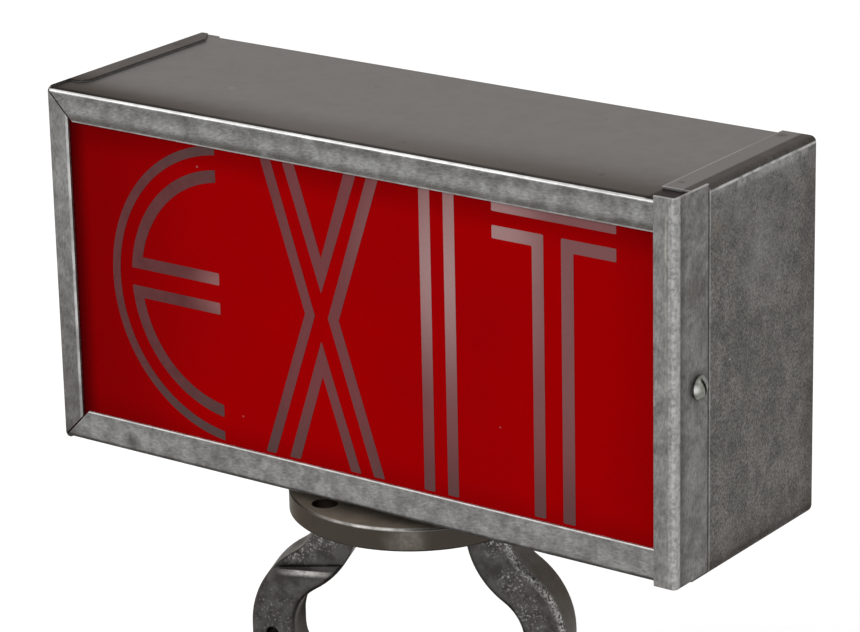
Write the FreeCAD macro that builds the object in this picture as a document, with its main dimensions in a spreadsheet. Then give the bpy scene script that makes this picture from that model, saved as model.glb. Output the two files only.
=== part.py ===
import FreeCAD, Part
import math
import os
import Sketcher
from types import SimpleNamespace
from FreeCAD import Placement, Rotation, Vector

# Emergency exit light: a folded steel housing with a ruby glass front, on a cast yoke.
#
# Frame: the origin is on the stem's axis at the underside of the yoke's foot, +X runs along
# the sign, +Y away from the glass and +Z up. Sizes are in millimetres.
#
# The pieces of the housing are drawn in the housing's own frame: x = 0 is the left end cap's
# outer face, y = 0 the front of the lips and z = 0 the underside of the shell.

# ---------------------------------------------------------------------------------- sizes

SIZES = {
    # sheet metal of the housing
    "gauge": 1.0,
    "lap_gap": 0.1,
    "bend_inner": 0.8,
    "box_width": 306.6,
    "shell_depth": 102.4,
    "shell_height": 153.0,
    "shell_end_gap": 1.0,
    "lower_lip": 13.6,
    "upper_lip": 12.6,
    "mitre_gap": 0.9,
    # left end cap
    "cap_flange": 9.5,
    "side_lip": 11.0,
    "flange_start": 13.3,
    "flange_clip": 9.0,
    # right end cap
    "lap_flange": 14.9,
    "end_bend": 2.6,
    "tab_front": 6.0,
    "joggle_place": 22.9,
    "end_drop": 1.8,
    # glass retainer and its screw
    "retainer_face": 9.7,
    "retainer_below": 1.0,
    "retainer_above": 2.0,
    "retainer_bend": 2.0,
    "retainer_gap": 0.3,
    "screw_setback": 15.8,
    "screw_head_diameter": 9.7,
    "screw_head_rim": 0.7,
    "screw_head_rise": 2.3,
    "screw_diameter": 4.8,
    "screw_length": 10.0,
    "slot_width": 1.3,
    "slot_depth": 1.5,
    "slot_tilt": 18.0,
    "thread_gap": 0.05,
    "nut_width": 9.5,
    "nut_height": 3.2,
    # glass and its guides
    "glass_thickness": 3.0,
    "glass_front_gap": 0.15,
    "glass_top_gap": 0.8,
    "glass_end_gap": 0.4,
    "glass_fold_gap": 0.05,
    "guide_gauge": 0.8,
    "guide_leg": 8.0,
    "guide_gap": 0.2,
    "guide_inset": 12.0,
    "guide_length": 276.0,
    # cast yoke
    "yoke_height": 133.8,
    "yoke_turn": 22.0,
    "flange_diameter": 104.6,
    "flange_thickness": 10.0,
    "flange_chamfer": 0.8,
    "boss_diameter": 38.0,
    "boss_height": 5.0,
    "arm_root": 32.0,
    "left_reach": 60.5,
    "right_reach": 56.6,
    "arm_straight": 5.0,
    "arm_belly": 4.6,
    "arm_width": 18.5,
    "arm_thickness": 22.5,
    "arm_edge": 3.0,
    "arm_hole": 5.4,
    "arm_hole_drop": 1.1,
    "bolt_edge": 9.3,
    "bolt_hole": 11.0,
    "relief_depth": 1.2,
    "relief_drop": 36.5,
    "relief_slant": 3.3,
    # stem between the yoke and the housing
    "stem_from_left": 149.7,
    "stem_from_front": 47.1,
    "stem_diameter": 17.1,
    "stem_bore": 12.5,
    "stem_hole_gap": 0.3,
    "stem_above": 4.0,
    "stem_below": 3.0,
    "spacer_height": 5.2,
    "spacer_diameter": 30.0,
    "locknut_flats": 27.0,
    "locknut_height": 4.5,
    "washer_diameter": 34.0,
    "washer_thickness": 2.0,
    "bushing_wall": 2.2,
    "bushing_lip": 2.5,
    # lamp bracket
    "bracket_gauge": 1.5,
    "bracket_width": 30.0,
    "bracket_span": 44.0,
    "bracket_bend": 1.5,
    "ear_above": 28.0,
    "ear_corner": 6.0,
    "lamp_height": 76.2,
    # lampholders, drawn along +X from their mounting faces
    "holder_flange": 56.0,
    "holder_base": 7.0,
    "holder_body": 36.0,
    "holder_length": 30.0,
    "holder_cavity": 29.0,
    "holder_floor": 8.0,
    "holder_round": 1.2,
    "terminal_radius": 23.2,
    "shell_diameter": 27.4,
    "shell_wall": 0.45,
    "shell_length": 20.5,
    "shell_opening": 18.0,
    "contact_diameter": 9.0,
    "contact_gauge": 0.8,
    "contact_rise": 1.2,
    # lamps
    "bulb_base": 25.6,
    "bulb_base_length": 24.0,
    "bulb_globe": 44.0,
    "bulb_length": 89.0,
    "bulb_tip_gap": 0.2,
    # small screws of the lampholders
    "fixing_head": 7.0,
    "fixing_rise": 2.2,
    "fixing_shank": 3.4,
    "fixing_reach": 3.0,
    "fixing_slot": 0.9,
    "fixing_edge": 0.7,
    "terminal_depth": 4.5,
    # wires
    "wire_diameter": 2.4,
    "wire_gap": 0.2,
    "wire_bend": 6.0,
    "link_setback": 34.0,
    "lead_clear": 15.0,
    "lead_offset": 3.0,
}


class Dim:
    """A size with its present value and the formula that ties it to the sheet."""

    def __init__(self, value, formula):
        self.value = float(value)
        self.formula = formula

    @staticmethod
    def of(number):
        return number if isinstance(number, Dim) else Dim(number, repr(float(number)))

    def join(self, sign, other, value):
        return Dim(value, f"({self.formula} {sign} {other.formula})")

    def __add__(self, other):
        other = Dim.of(other)
        return self.join("+", other, self.value + other.value)

    def __sub__(self, other):
        other = Dim.of(other)
        return self.join("-", other, self.value - other.value)

    def __mul__(self, other):
        other = Dim.of(other)
        return self.join("*", other, self.value * other.value)

    def __truediv__(self, other):
        other = Dim.of(other)
        return self.join("/", other, self.value / other.value)

    def __radd__(self, other):
        return Dim.of(other) + self

    def __rsub__(self, other):
        return Dim.of(other) - self

    def __rmul__(self, other):
        return Dim.of(other) * self

    def __neg__(self):
        return Dim.of(0) - self


def make_sheet(doc):
    """Writes the driving sizes to the document's sheet and returns them by name."""
    sheet = doc.addObject("Spreadsheet::Sheet", "Sizes")
    for row, (name, value) in enumerate(SIZES.items(), 1):
        sheet.set(f"A{row}", name)
        sheet.set(f"B{row}", str(value))
        sheet.setAlias(f"B{row}", name)
    doc.recompute()
    return SimpleNamespace(**{name: Dim(sheet.get(name), f"Sizes.{name}") for name in SIZES})


doc = FreeCAD.newDocument("exit_light")
sz = make_sheet(doc)

# -------------------------------------------------------------------------- derived places

SKIN = sz.gauge + sz.lap_gap                          # a cap flange's outer face, off the shell
SHELL_LEFT = SKIN
SHELL_RIGHT = sz.box_width - sz.gauge * 2 - sz.lap_gap - sz.shell_end_gap
TAB_FACE = sz.box_width - sz.gauge - sz.lap_gap       # outer face of the right cap's tab
TAB_BACK = TAB_FACE - sz.gauge
MID_HEIGHT = sz.shell_height / 2
BEND_OUTER = sz.bend_inner + sz.gauge
CAP_CORNER = BEND_OUTER + SKIN                        # a cap's corner, round the shell's folds
BOX_X = -sz.stem_from_left
BOX_Y = -sz.stem_from_front
BOX_Z = sz.yoke_height + sz.spacer_height
FLOOR_Z = BOX_Z + sz.gauge
BRACKET_TOP_Z = FLOOR_Z + sz.bracket_gauge
INNER_NUT_TOP_Z = BRACKET_TOP_Z + sz.locknut_height
STEM_TOP_Z = INNER_NUT_TOP_Z + sz.stem_above
BOSS_UNDER_Z = sz.yoke_height - sz.flange_thickness - sz.boss_height
WASHER_Z = BOSS_UNDER_Z - sz.washer_thickness
LOWER_NUT_Z = WASHER_Z - sz.locknut_height
STEM_END_Z = LOWER_NUT_Z - sz.stem_below
LAMP_Z = BOX_Z + sz.lamp_height
HOLDER_X = sz.bracket_span / 2                        # mounting face of the right lampholder
GLASS_FRONT = sz.gauge + sz.glass_front_gap
GLASS_ARRIS = sz.bend_inner - sz.glass_front_gap + sz.glass_fold_gap
GUIDE_FRONT = GLASS_FRONT + sz.glass_thickness + sz.guide_gap
STEM_HOLE = sz.stem_diameter + sz.stem_hole_gap * 2
THREAD_HOLE = sz.screw_diameter + sz.thread_gap * 2

# ---------------------------------------------------------------------------------- helpers


def bind(thing, prop, size):
    """Ties a property of an object to the sheet."""
    thing.setExpression(prop, Dim.of(size).formula)


def place(thing, x=0, y=0, z=0, axis=Vector(0, 0, 1), turn=0):
    """Puts a finished piece at its place in the frame of the light."""
    spots = [Dim.of(v) for v in (x, y, z)]
    turn = Dim.of(turn)
    thing.Placement = Placement(Vector(*(s.value for s in spots)), Rotation(axis, turn.value))
    for letter, spot in zip("xyz", spots):
        bind(thing, f"Placement.Base.{letter}", spot)
    if turn.value:
        bind(thing, "Placement.Rotation.Angle", turn)


def new_body(label):
    body = doc.addObject("PartDesign::Body", label)
    body.Label = label
    return body


def origin_item(body, role):
    return next(f for f in body.Origin.OriginFeatures if f.Role == role)


def settle(feature):
    """Computes a new feature and stops where it failed."""
    doc.recompute()
    if {"Invalid", "Error"} & set(feature.State):
        raise ValueError(f"{feature.Name} failed: {feature.getStatusString()}")
    return feature


def new_sketch(body, name, plane, offset):
    """Adds a sketch on one of the body's own origin planes, lifted by offset along its normal."""
    sketch = body.newObject("Sketcher::SketchObject", name)
    sketch.AttachmentSupport = [(origin_item(body, plane), "")]
    sketch.MapMode = "FlatFace"
    bind(sketch, "AttachmentOffset.Base.z", offset)
    return sketch


def pin_point(sketch, geometry, end, x, y, label):
    """Fixes a point of a sketch at (x, y), each either on its axis or at a bound distance."""
    for number, axis, kind, mark in ((x, -2, "DistanceX", "across"), (y, -1, "DistanceY", "up")):
        if isinstance(number, (int, float)) and number == 0:
            sketch.addConstraint(Sketcher.Constraint("PointOnObject", geometry, end, axis))
            continue
        value = Dim.of(number).value
        sketch.addConstraint(Sketcher.Constraint(kind, geometry, end, value))
        index = sketch.ConstraintCount - 1
        sketch.renameConstraint(index, f"{mark}_{label}")
        bind(sketch, f"Constraints.{mark}_{label}", number)


def arc_between(start, stop, radius):
    """The shorter arc from start to stop, anticlockwise where the radius is positive."""
    chord = stop - start
    rise = math.sqrt(radius ** 2 - (chord.Length / 2) ** 2)
    side = Vector(-chord.y, chord.x, 0).normalize() * math.copysign(rise, radius)
    centre = (start + stop) / 2 + side
    angles = [math.atan2(p.y - centre.y, p.x - centre.x) for p in (start, stop)]
    if radius < 0:
        angles.reverse()
    return Part.ArcOfCircle(Part.Circle(centre, Vector(0, 0, 1), abs(radius)), *angles)


def outline(body, name, plane, path, offset=0):
    """A closed sketch through the points of path.

    A point is (x, y), or (x, y, radius) where an arc leads on to the next point, clockwise
    where the radius is negative. Every point and radius is bound to the sheet.
    """
    sketch = new_sketch(body, name, plane, offset)
    spots = [Vector(Dim.of(p[0]).value, Dim.of(p[1]).value, 0) for p in path]
    ends = []
    for i, point in enumerate(path):
        start, stop = spots[i], spots[(i + 1) % len(path)]
        if len(point) == 2:
            sketch.addGeometry(Part.LineSegment(start, stop))
            ends.append((1, 2))
            continue
        radius = Dim.of(point[2])
        sketch.addGeometry(arc_between(start, stop, radius.value))
        ends.append((1, 2) if radius.value > 0 else (2, 1))
    for i in range(len(path)):
        after = (i + 1) % len(path)
        sketch.addConstraint(Sketcher.Constraint("Coincident", i, ends[i][1], after, ends[after][0]))
    for i, point in enumerate(path):
        pin_point(sketch, i, ends[i][0], point[0], point[1], i)
        if len(point) == 3:
            radius = point[2] if point[2].value > 0 else -point[2]
            sketch.addConstraint(Sketcher.Constraint("Radius", i, radius.value))
            sketch.renameConstraint(sketch.ConstraintCount - 1, f"radius_{i}")
            bind(sketch, f"Constraints.radius_{i}", radius)
    return sketch


def rectangle(body, name, plane, low, high, offset=0):
    (x0, y0), (x1, y1) = low, high
    return outline(body, name, plane, [(x0, y0), (x1, y0), (x1, y1), (x0, y1)], offset)


def circles(body, name, plane, rings, offset=0):
    """A sketch of circles, each given as (x, y, diameter)."""
    sketch = new_sketch(body, name, plane, offset)
    for i, (x, y, diameter) in enumerate(rings):
        diameter = Dim.of(diameter)
        centre = Vector(Dim.of(x).value, Dim.of(y).value, 0)
        sketch.addGeometry(Part.Circle(centre, Vector(0, 0, 1), diameter.value / 2))
        pin_point(sketch, i, 3, x, y, i)
        sketch.addConstraint(Sketcher.Constraint("Diameter", i, diameter.value))
        sketch.renameConstraint(sketch.ConstraintCount - 1, f"diameter_{i}")
        bind(sketch, f"Constraints.diameter_{i}", diameter)
    return sketch


def hexagon(body, name, plane, flats, offset=0):
    """A sketch of a regular hexagon, sized across its flats."""
    corner = flats / math.sqrt(3)
    half = flats / 2
    path = [(corner, 0), (corner / 2, half), (-corner / 2, half),
            (-corner, 0), (-corner / 2, -half), (corner / 2, -half)]
    return outline(body, name, plane, path, offset)


def pad(body, sketch, length, back=False, both=False):
    """Pads a sketch along its normal, against it, or half each way."""
    feature = body.newObject("PartDesign::Pad", f"{sketch.Name}_pad")
    feature.Profile = sketch
    feature.Midplane = both
    feature.Reversed = back
    bind(feature, "Length", length)
    return settle(feature)


def pocket(body, sketch, depth=None, back=False, both=False):
    """Cuts a sketch against its normal (along it with back), to a depth or through everything."""
    before = body.Shape.Volume
    feature = body.newObject("PartDesign::Pocket", f"{sketch.Name}_cut")
    feature.Profile = sketch
    feature.Midplane = both
    feature.Reversed = back
    if depth is None:
        feature.Type = "ThroughAll"
    else:
        bind(feature, "Length", depth)
    settle(feature)
    if body.Shape.Volume >= before - 1e-6:
        raise ValueError(f"{body.Label}: {feature.Name} cuts nothing")
    return feature


def revolve(body, sketch, axis):
    """Turns a sketch once round its own H_Axis or V_Axis."""
    feature = body.newObject("PartDesign::Revolution", f"{sketch.Name}_turned")
    feature.Profile = sketch
    feature.ReferenceAxis = (sketch, [axis])
    feature.Angle = 360
    return settle(feature)


def middle(edge):
    return edge.valueAt((edge.FirstParameter + edge.LastParameter) / 2)


def runs_along(edge, axis):
    """True for a straight edge parallel to an axis."""
    if not isinstance(edge.Curve, Part.Line):
        return False
    return abs(getattr(edge.Curve.Direction, axis)) > 0.999


def near(value, *sizes):
    return any(abs(value - Dim.of(size).value) < 0.02 for size in sizes)


def soften(body, kind, name, size, test):
    """Fillets or chamfers the edges of the body's tip that pass the test."""
    base = body.Tip
    found = [f"Edge{i}" for i, edge in enumerate(base.Shape.Edges, 1) if test(edge)]
    if not found:
        raise ValueError(f"{body.Label}: {name} finds no edge")
    feature = body.newObject(f"PartDesign::{kind}", name)
    feature.Base = (base, found)
    bind(feature, "Radius" if kind == "Fillet" else "Size", size)
    return settle(feature)


def mirror_all(body, name, originals, planes):
    """Repeats features by reflection in each of the body's origin planes in turn."""
    feature = body.newObject("PartDesign::MultiTransform", name)
    feature.Originals = originals
    steps = []
    for plane in planes:
        step = body.newObject("PartDesign::Mirrored", f"{name}_{plane[:2]}")
        step.MirrorPlane = (origin_item(body, plane), [""])
        steps.append(step)
    feature.Transformations = steps
    body.Tip = feature
    return settle(feature)


def in_box(body):
    """Places a piece that is drawn in the housing's frame."""
    place(body, BOX_X, BOX_Y, BOX_Z)
    return body


# ------------------------------------------------------------------------------ the housing


def housing_shell():
    """Top, back and bottom folded from one sheet, with a lip along the glass above and below."""
    body = new_body("housing_shell")
    deep, high, thin = sz.shell_depth, sz.shell_height, sz.gauge
    lower, upper = sz.lower_lip, sz.upper_lip
    section = outline(body, "shell_section", "YZ_Plane", [
        (0, 0), (deep, 0), (deep, high), (0, high), (0, high - upper), (thin, high - upper),
        (thin, high - thin), (deep - thin, high - thin), (deep - thin, thin), (thin, thin),
        (thin, lower), (0, lower)], offset=SHELL_LEFT)
    pad(body, section, SHELL_RIGHT - SHELL_LEFT)

    def fold(edge, ys, zs):
        spot = middle(edge)
        return runs_along(edge, "x") and near(spot.y, *ys) and near(spot.z, *zs)

    soften(body, "Fillet", "shell_folds_outside", BEND_OUTER,
           lambda edge: fold(edge, (0, deep), (0, high)))
    soften(body, "Fillet", "shell_folds_inside", sz.bend_inner,
           lambda edge: fold(edge, (thin, deep - thin), (thin, high - thin)))

    gap, reach = sz.mitre_gap, upper + 1
    top = outline(body, "top_mitre", "XZ_Plane", [
        (gap - 1, high + 1), (-1, high - reach), (gap + reach, high - reach)])
    pocket(body, top, BEND_OUTER)
    reach = lower + 1
    bottom = outline(body, "bottom_mitre", "XZ_Plane", [
        (gap - 1, -1), (gap + reach, reach), (-1, reach)])
    pocket(body, bottom, BEND_OUTER)

    hole = circles(body, "stem_hole", "XY_Plane",
                   [(sz.stem_from_left, sz.stem_from_front, STEM_HOLE)])
    pocket(body, hole, sz.gauge * 2, back=True)
    return in_box(body)


def cap_inside(body, name, front, offset, drop=0):
    """Section of a cap's hollow, rounded at the back to go round the shell's folds."""
    floor, roof = -sz.lap_gap - drop, sz.shell_height + sz.lap_gap
    wall, turn = sz.shell_depth + sz.lap_gap, CAP_CORNER - sz.gauge
    return outline(body, name, "YZ_Plane", [
        (front, floor), (wall - turn, floor, turn), (wall, floor + turn),
        (wall, roof - turn, turn), (wall - turn, roof), (front, roof)], offset=offset)


def left_end_cap():
    """Plate with flanges over the shell's top, back and bottom, and the left lip of the glass."""
    body = new_body("left_end_cap")
    deep, high, thin = sz.shell_depth, sz.shell_height, sz.gauge
    back, top, low = deep + SKIN, high + SKIN, -SKIN
    pad(body, rectangle(body, "left_block", "YZ_Plane", (0, low), (back, top)), sz.side_lip)
    soften(body, "Fillet", "left_corners", CAP_CORNER, lambda edge: runs_along(edge, "x"))
    soften(body, "Fillet", "left_folds", BEND_OUTER, lambda edge: near(middle(edge).x, 0))
    pocket(body, cap_inside(body, "left_inside", thin, thin), back=True)

    past = sz.side_lip + 1
    trim = rectangle(body, "left_trim", "XY_Plane", (sz.cap_flange, thin), (past, back + 1))
    pocket(body, trim, both=True)
    start = sz.flange_start
    relief = outline(body, "left_relief", "XY_Plane", [
        (BEND_OUTER, thin), (past, thin), (past, start + 3), (sz.cap_flange, start + 3),
        (sz.cap_flange - 3, start), (BEND_OUTER, start)])
    pocket(body, relief, both=True)

    top_mitre = outline(body, "left_top_mitre", "XZ_Plane", [
        (0, high), (past, high - past), (past, top + 1), (0, top + 1)])
    pocket(body, top_mitre, thin)
    low_mitre = outline(body, "left_low_mitre", "XZ_Plane", [
        (0, 0), (0, low - 1), (past, low - 1), (past, past)])
    pocket(body, low_mitre, thin)

    clip = [(sz.cap_flange, deep - sz.flange_clip), (sz.cap_flange, back + 1),
            (sz.gauge * 3, back + 1), (sz.gauge * 3, back)]
    pocket(body, outline(body, "left_top_clip", "XY_Plane", clip, offset=high), SKIN * 2,
           back=True)
    pocket(body, outline(body, "left_low_clip", "XY_Plane", clip, offset=0), SKIN * 2)
    return in_box(body)


def right_end_cap():
    """Plate with flanges, joggled inward at the front into a tab behind the glass retainer."""
    body = new_body("right_end_cap")
    wide, deep, high, thin = sz.box_width, sz.shell_depth, sz.shell_height, sz.gauge
    drop = sz.end_drop
    back, top, low = deep + SKIN, high + SKIN, -SKIN - drop
    start = sz.flange_start
    block = rectangle(body, "right_block", "YZ_Plane", (start, low), (back, top),
                      offset=wide - sz.lap_flange)
    pad(body, block, sz.lap_flange)
    soften(body, "Fillet", "right_corners", CAP_CORNER,
           lambda edge: runs_along(edge, "x") and near(middle(edge).y, back))
    soften(body, "Fillet", "right_folds", sz.end_bend,
           lambda edge: near(middle(edge).x, wide) and not near(middle(edge).y, start))
    pocket(body, cap_inside(body, "right_inside", start - 1, wide - thin, drop))
    soften(body, "Fillet", "right_folds_inside", sz.end_bend - thin,
           lambda edge: near(middle(edge).x, wide - thin) and not near(middle(edge).y, start))
    joggle = rectangle(body, "right_joggle", "XY_Plane", (TAB_FACE, start - 1),
                       (wide + 1, sz.joggle_place))
    pocket(body, joggle, both=True)
    tab = rectangle(body, "right_tab", "YZ_Plane", (sz.tab_front, 0),
                    (sz.joggle_place + thin, high), offset=TAB_BACK)
    pad(body, tab, thin)
    bend = sz.end_bend - SKIN
    step = rectangle(body, "right_step", "YZ_Plane", (sz.joggle_place, bend - drop),
                     (sz.joggle_place + thin, high - bend), offset=TAB_BACK)
    pad(body, step, wide - TAB_BACK)
    hole = circles(body, "tab_hole", "YZ_Plane",
                   [(sz.screw_setback, MID_HEIGHT, THREAD_HOLE + sz.lap_gap * 2)], offset=wide)
    pocket(body, hole, thin * 4)
    return in_box(body)


def glass_retainer():
    """Folded angle over the right front corner, a little longer than the housing is high."""
    body = new_body("glass_retainer")
    wide, thin = sz.box_width, sz.gauge
    front, behind, end = -SKIN, -sz.lap_gap, sz.joggle_place - sz.retainer_gap
    edge_x = wide - sz.retainer_face
    section = outline(body, "retainer_section", "XY_Plane", [
        (edge_x, front), (wide, front), (wide, end), (wide - thin, end), (wide - thin, behind),
        (edge_x, behind)], offset=-sz.retainer_below)
    pad(body, section, sz.retainer_below + sz.shell_height + sz.retainer_above)

    def corner(edge, x, y):
        spot = middle(edge)
        return runs_along(edge, "z") and near(spot.x, x) and near(spot.y, y)

    soften(body, "Fillet", "retainer_fold_outside", sz.retainer_bend,
           lambda edge: corner(edge, wide, front))
    soften(body, "Fillet", "retainer_fold_inside", sz.retainer_bend - thin,
           lambda edge: corner(edge, wide - thin, behind))
    hole = circles(body, "retainer_hole", "YZ_Plane",
                   [(sz.screw_setback, MID_HEIGHT, THREAD_HOLE + sz.lap_gap * 2)], offset=wide + 1)
    pocket(body, hole, thin + 2)
    return in_box(body)


def retainer_screw():
    """Slotted round-head screw, drawn along X with its head's seat at x = 0."""
    body = new_body("retainer_screw")
    shank, head = sz.screw_diameter / 2, sz.screw_head_diameter / 2
    rim, rise, length = sz.screw_head_rim, sz.screw_head_rise, sz.screw_length
    dome = (head * head + rise * rise) / (rise * 2)
    tip = shank / 4
    section = outline(body, "screw_section", "XZ_Plane", [
        (-length, 0), (-length, shank - tip), (tip - length, shank), (0, shank), (0, head),
        (rim, head, -dome), (rim + rise, 0)])
    revolve(body, section, "H_Axis")
    crown = rim + rise
    slot = rectangle(body, "screw_slot", "XY_Plane", (crown - sz.slot_depth, -sz.slot_width / 2),
                     (crown + 1, sz.slot_width / 2))
    pocket(body, slot, both=True)
    place(body, BOX_X + sz.box_width, BOX_Y + sz.screw_setback, BOX_Z + MID_HEIGHT,
          Vector(1, 0, 0), sz.slot_tilt)
    return body


def retainer_nut():
    """Square weld nut on the back of the right cap's tab."""
    body = new_body("retainer_nut")
    half = sz.nut_width / 2
    y, z = sz.screw_setback, MID_HEIGHT
    square = rectangle(body, "nut_square", "YZ_Plane", (y - half, z - half), (y + half, z + half),
                       offset=TAB_BACK)
    pad(body, square, sz.nut_height, back=True)
    soften(body, "Chamfer", "nut_edges", sz.nut_height / 6,
           lambda edge: near(middle(edge).x, TAB_BACK - sz.nut_height))
    bore = circles(body, "nut_bore", "YZ_Plane", [(y, z, THREAD_HOLE)], offset=TAB_BACK)
    pocket(body, bore)
    return in_box(body)


def exit_glass():
    """Flat pane with ground arrises, standing in the shell behind its lips."""
    body = new_body("exit_glass")
    left = sz.gauge + sz.glass_end_gap
    right = sz.box_width - sz.retainer_bend - sz.glass_end_gap
    face = rectangle(body, "glass_face", "XZ_Plane", (left, sz.gauge),
                     (right, sz.shell_height - sz.gauge - sz.glass_top_gap), offset=-GLASS_FRONT)
    pad(body, face, sz.glass_thickness, back=True)
    soften(body, "Chamfer", "glass_arrises", GLASS_ARRIS, lambda edge: True)
    return in_box(body)


def glass_guide(label, upper):
    """Folded angle welded inside the shell behind the glass, below or above it."""
    body = new_body(label)
    thin, leg, front = sz.guide_gauge, sz.guide_leg, GUIDE_FRONT
    seat, way = (sz.shell_height - sz.gauge, -1) if upper else (sz.gauge, 1)
    section = outline(body, f"{label}_section", "YZ_Plane", [
        (front, seat), (front + leg, seat), (front + leg, seat + thin * way),
        (front + thin, seat + thin * way), (front + thin, seat + leg * way),
        (front, seat + leg * way)], offset=sz.guide_inset)
    pad(body, section, sz.guide_length)
    soften(body, "Fillet", f"{label}_fold", thin * 2,
           lambda edge: runs_along(edge, "x") and near(middle(edge).y, front)
           and near(middle(edge).z, seat))
    soften(body, "Fillet", f"{label}_fold_inside", thin,
           lambda edge: runs_along(edge, "x") and near(middle(edge).y, front + thin)
           and near(middle(edge).z, seat + thin * way))
    return in_box(body)


# ----------------------------------------------------------------------------- yoke and stem


def yoke_arm(body, name, side, reach):
    """Pads one arm: S-curves from above and below to a short upright at its widest place."""
    root, half, belly = sz.arm_root, sz.arm_width / 2, sz.arm_belly / 2
    top = sz.yoke_height / 2 - sz.flange_thickness - sz.arm_straight
    end = top + sz.arm_straight * 3 / 2
    shift, tall = reach - root, top - belly
    radius = (shift * shift + tall * tall) / (shift * 4)
    cosine, sine = 1 - shift / (radius * 2), tall / (radius * 2)
    tight, wide = radius - half, radius + half
    inner_x, inner_z = root + radius - wide * cosine, top - wide * sine
    outer_x, outer_z = root + radius - tight * cosine, top - tight * sine
    path = [
        (root - half, end), (root - half, top, wide), (inner_x, inner_z, -tight),
        (reach - half, belly), (reach - half, -belly, -tight), (inner_x, -inner_z, wide),
        (root - half, -top), (root - half, -end), (root + half, -end),
        (root + half, -top, -tight), (outer_x, -outer_z, wide), (reach + half, -belly),
        (reach + half, belly, wide), (outer_x, outer_z, -tight), (root + half, top),
        (root + half, end)]
    path = [(x * side, z, *(radius * side for radius in bend)) for x, z, *bend in path]
    pad(body, outline(body, f"{name}_outline", "XZ_Plane", path), sz.arm_thickness, both=True)

    def long_edge(edge):
        spot = middle(edge)
        return (near(abs(spot.y), sz.arm_thickness / 2) and not near(abs(spot.z), end)
                and spot.x * side > 0)

    soften(body, "Fillet", f"{name}_edges", sz.arm_edge, long_edge)
    hole = circles(body, f"{name}_hole", "XZ_Plane", [
        (reach * side, -sz.arm_hole_drop, sz.arm_hole)])
    pocket(body, hole, both=True)


def yoke_stand():
    """One casting: a round flange, two curved arms and a round foot, drawn about mid-height."""
    body = new_body("yoke_stand")
    yoke_arm(body, "left_arm", -1, sz.left_reach)
    yoke_arm(body, "right_arm", 1, sz.right_reach)
    half, thick, rim = sz.yoke_height / 2, sz.flange_thickness, sz.flange_diameter / 2
    cut, boss = sz.flange_chamfer, sz.boss_diameter / 2
    bore = STEM_HOLE / 2
    under = half - thick
    flange = outline(body, "flange_section", "XZ_Plane", [
        (bore, half), (bore, under - sz.boss_height), (boss, under - sz.boss_height),
        (boss, under), (rim - cut, under), (rim, under + cut), (rim, half - cut),
        (rim - cut, half)])
    revolve(body, flange, "V_Axis")
    foot = outline(body, "foot_section", "XZ_Plane", [
        (0, -half), (rim - cut, -half), (rim, cut - half), (rim, -under - cut),
        (rim - cut, -under), (0, -under)])
    revolve(body, foot, "V_Axis")

    place_45 = (rim - sz.bolt_edge) * math.sqrt(0.5)
    bolt = pocket(body, circles(body, "bolt_hole", "XY_Plane",
                                [(place_45, place_45, sz.bolt_hole)]), both=True)
    ring = body.newObject("PartDesign::PolarPattern", "bolt_ring")
    ring.Originals = [bolt]
    ring.Axis = (origin_item(body, "Z_Axis"), [""])
    ring.Occurrences = 4
    body.Tip = ring
    settle(ring)

    ledge = half - sz.relief_drop
    far = sz.left_reach + sz.arm_width
    relief = outline(body, "wrench_relief", "XZ_Plane", [
        (-far, under), (-far, ledge - sz.relief_slant), (0, ledge + sz.relief_slant), (0, under)],
        offset=sz.arm_thickness / 2)
    pocket(body, relief, sz.relief_depth)
    place(body, 0, 0, half, turn=sz.yoke_turn)
    return body


def ring_piece(label, rings, height, z):
    """A flat ring about the stem, from the circles of its plan."""
    body = new_body(label)
    pad(body, circles(body, f"{label}_plan", "XY_Plane", rings), height)
    place(body, 0, 0, z)
    return body


def locknut(label, z):
    """Hexagonal locknut on the stem, with its corners chamfered above and below."""
    body = new_body(label)
    pad(body, hexagon(body, f"{label}_plan", "XY_Plane", sz.locknut_flats), sz.locknut_height)
    soften(body, "Chamfer", f"{label}_edges", sz.locknut_height / 9,
           lambda edge: near(middle(edge).z, 0, sz.locknut_height))
    bore = sz.stem_diameter + sz.thread_gap * 2
    pocket(body, circles(body, f"{label}_bore", "XY_Plane", [(0, 0, bore)]), back=True)
    place(body, 0, 0, z)
    return body


def stem_bushing():
    """Insulating cap over the stem's sharp upper end, with a rounded mouth for the leads."""
    body = new_body("stem_bushing")
    seat = sz.stem_diameter / 2 + sz.thread_gap
    outer, mouth = seat + sz.bushing_wall, sz.stem_bore / 2
    top = sz.stem_above + sz.bushing_lip
    section = outline(body, "bushing_section", "XZ_Plane", [
        (seat, 0), (outer, 0), (outer, top), (mouth, top), (mouth, sz.stem_above),
        (seat, sz.stem_above)])
    revolve(body, section, "V_Axis")
    soften(body, "Fillet", "bushing_mouth", sz.bushing_lip / 3,
           lambda edge: near(middle(edge).z, top))
    place(body, 0, 0, INNER_NUT_TOP_Z)
    return body


# -------------------------------------------------------------------------------- lamp gear


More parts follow.
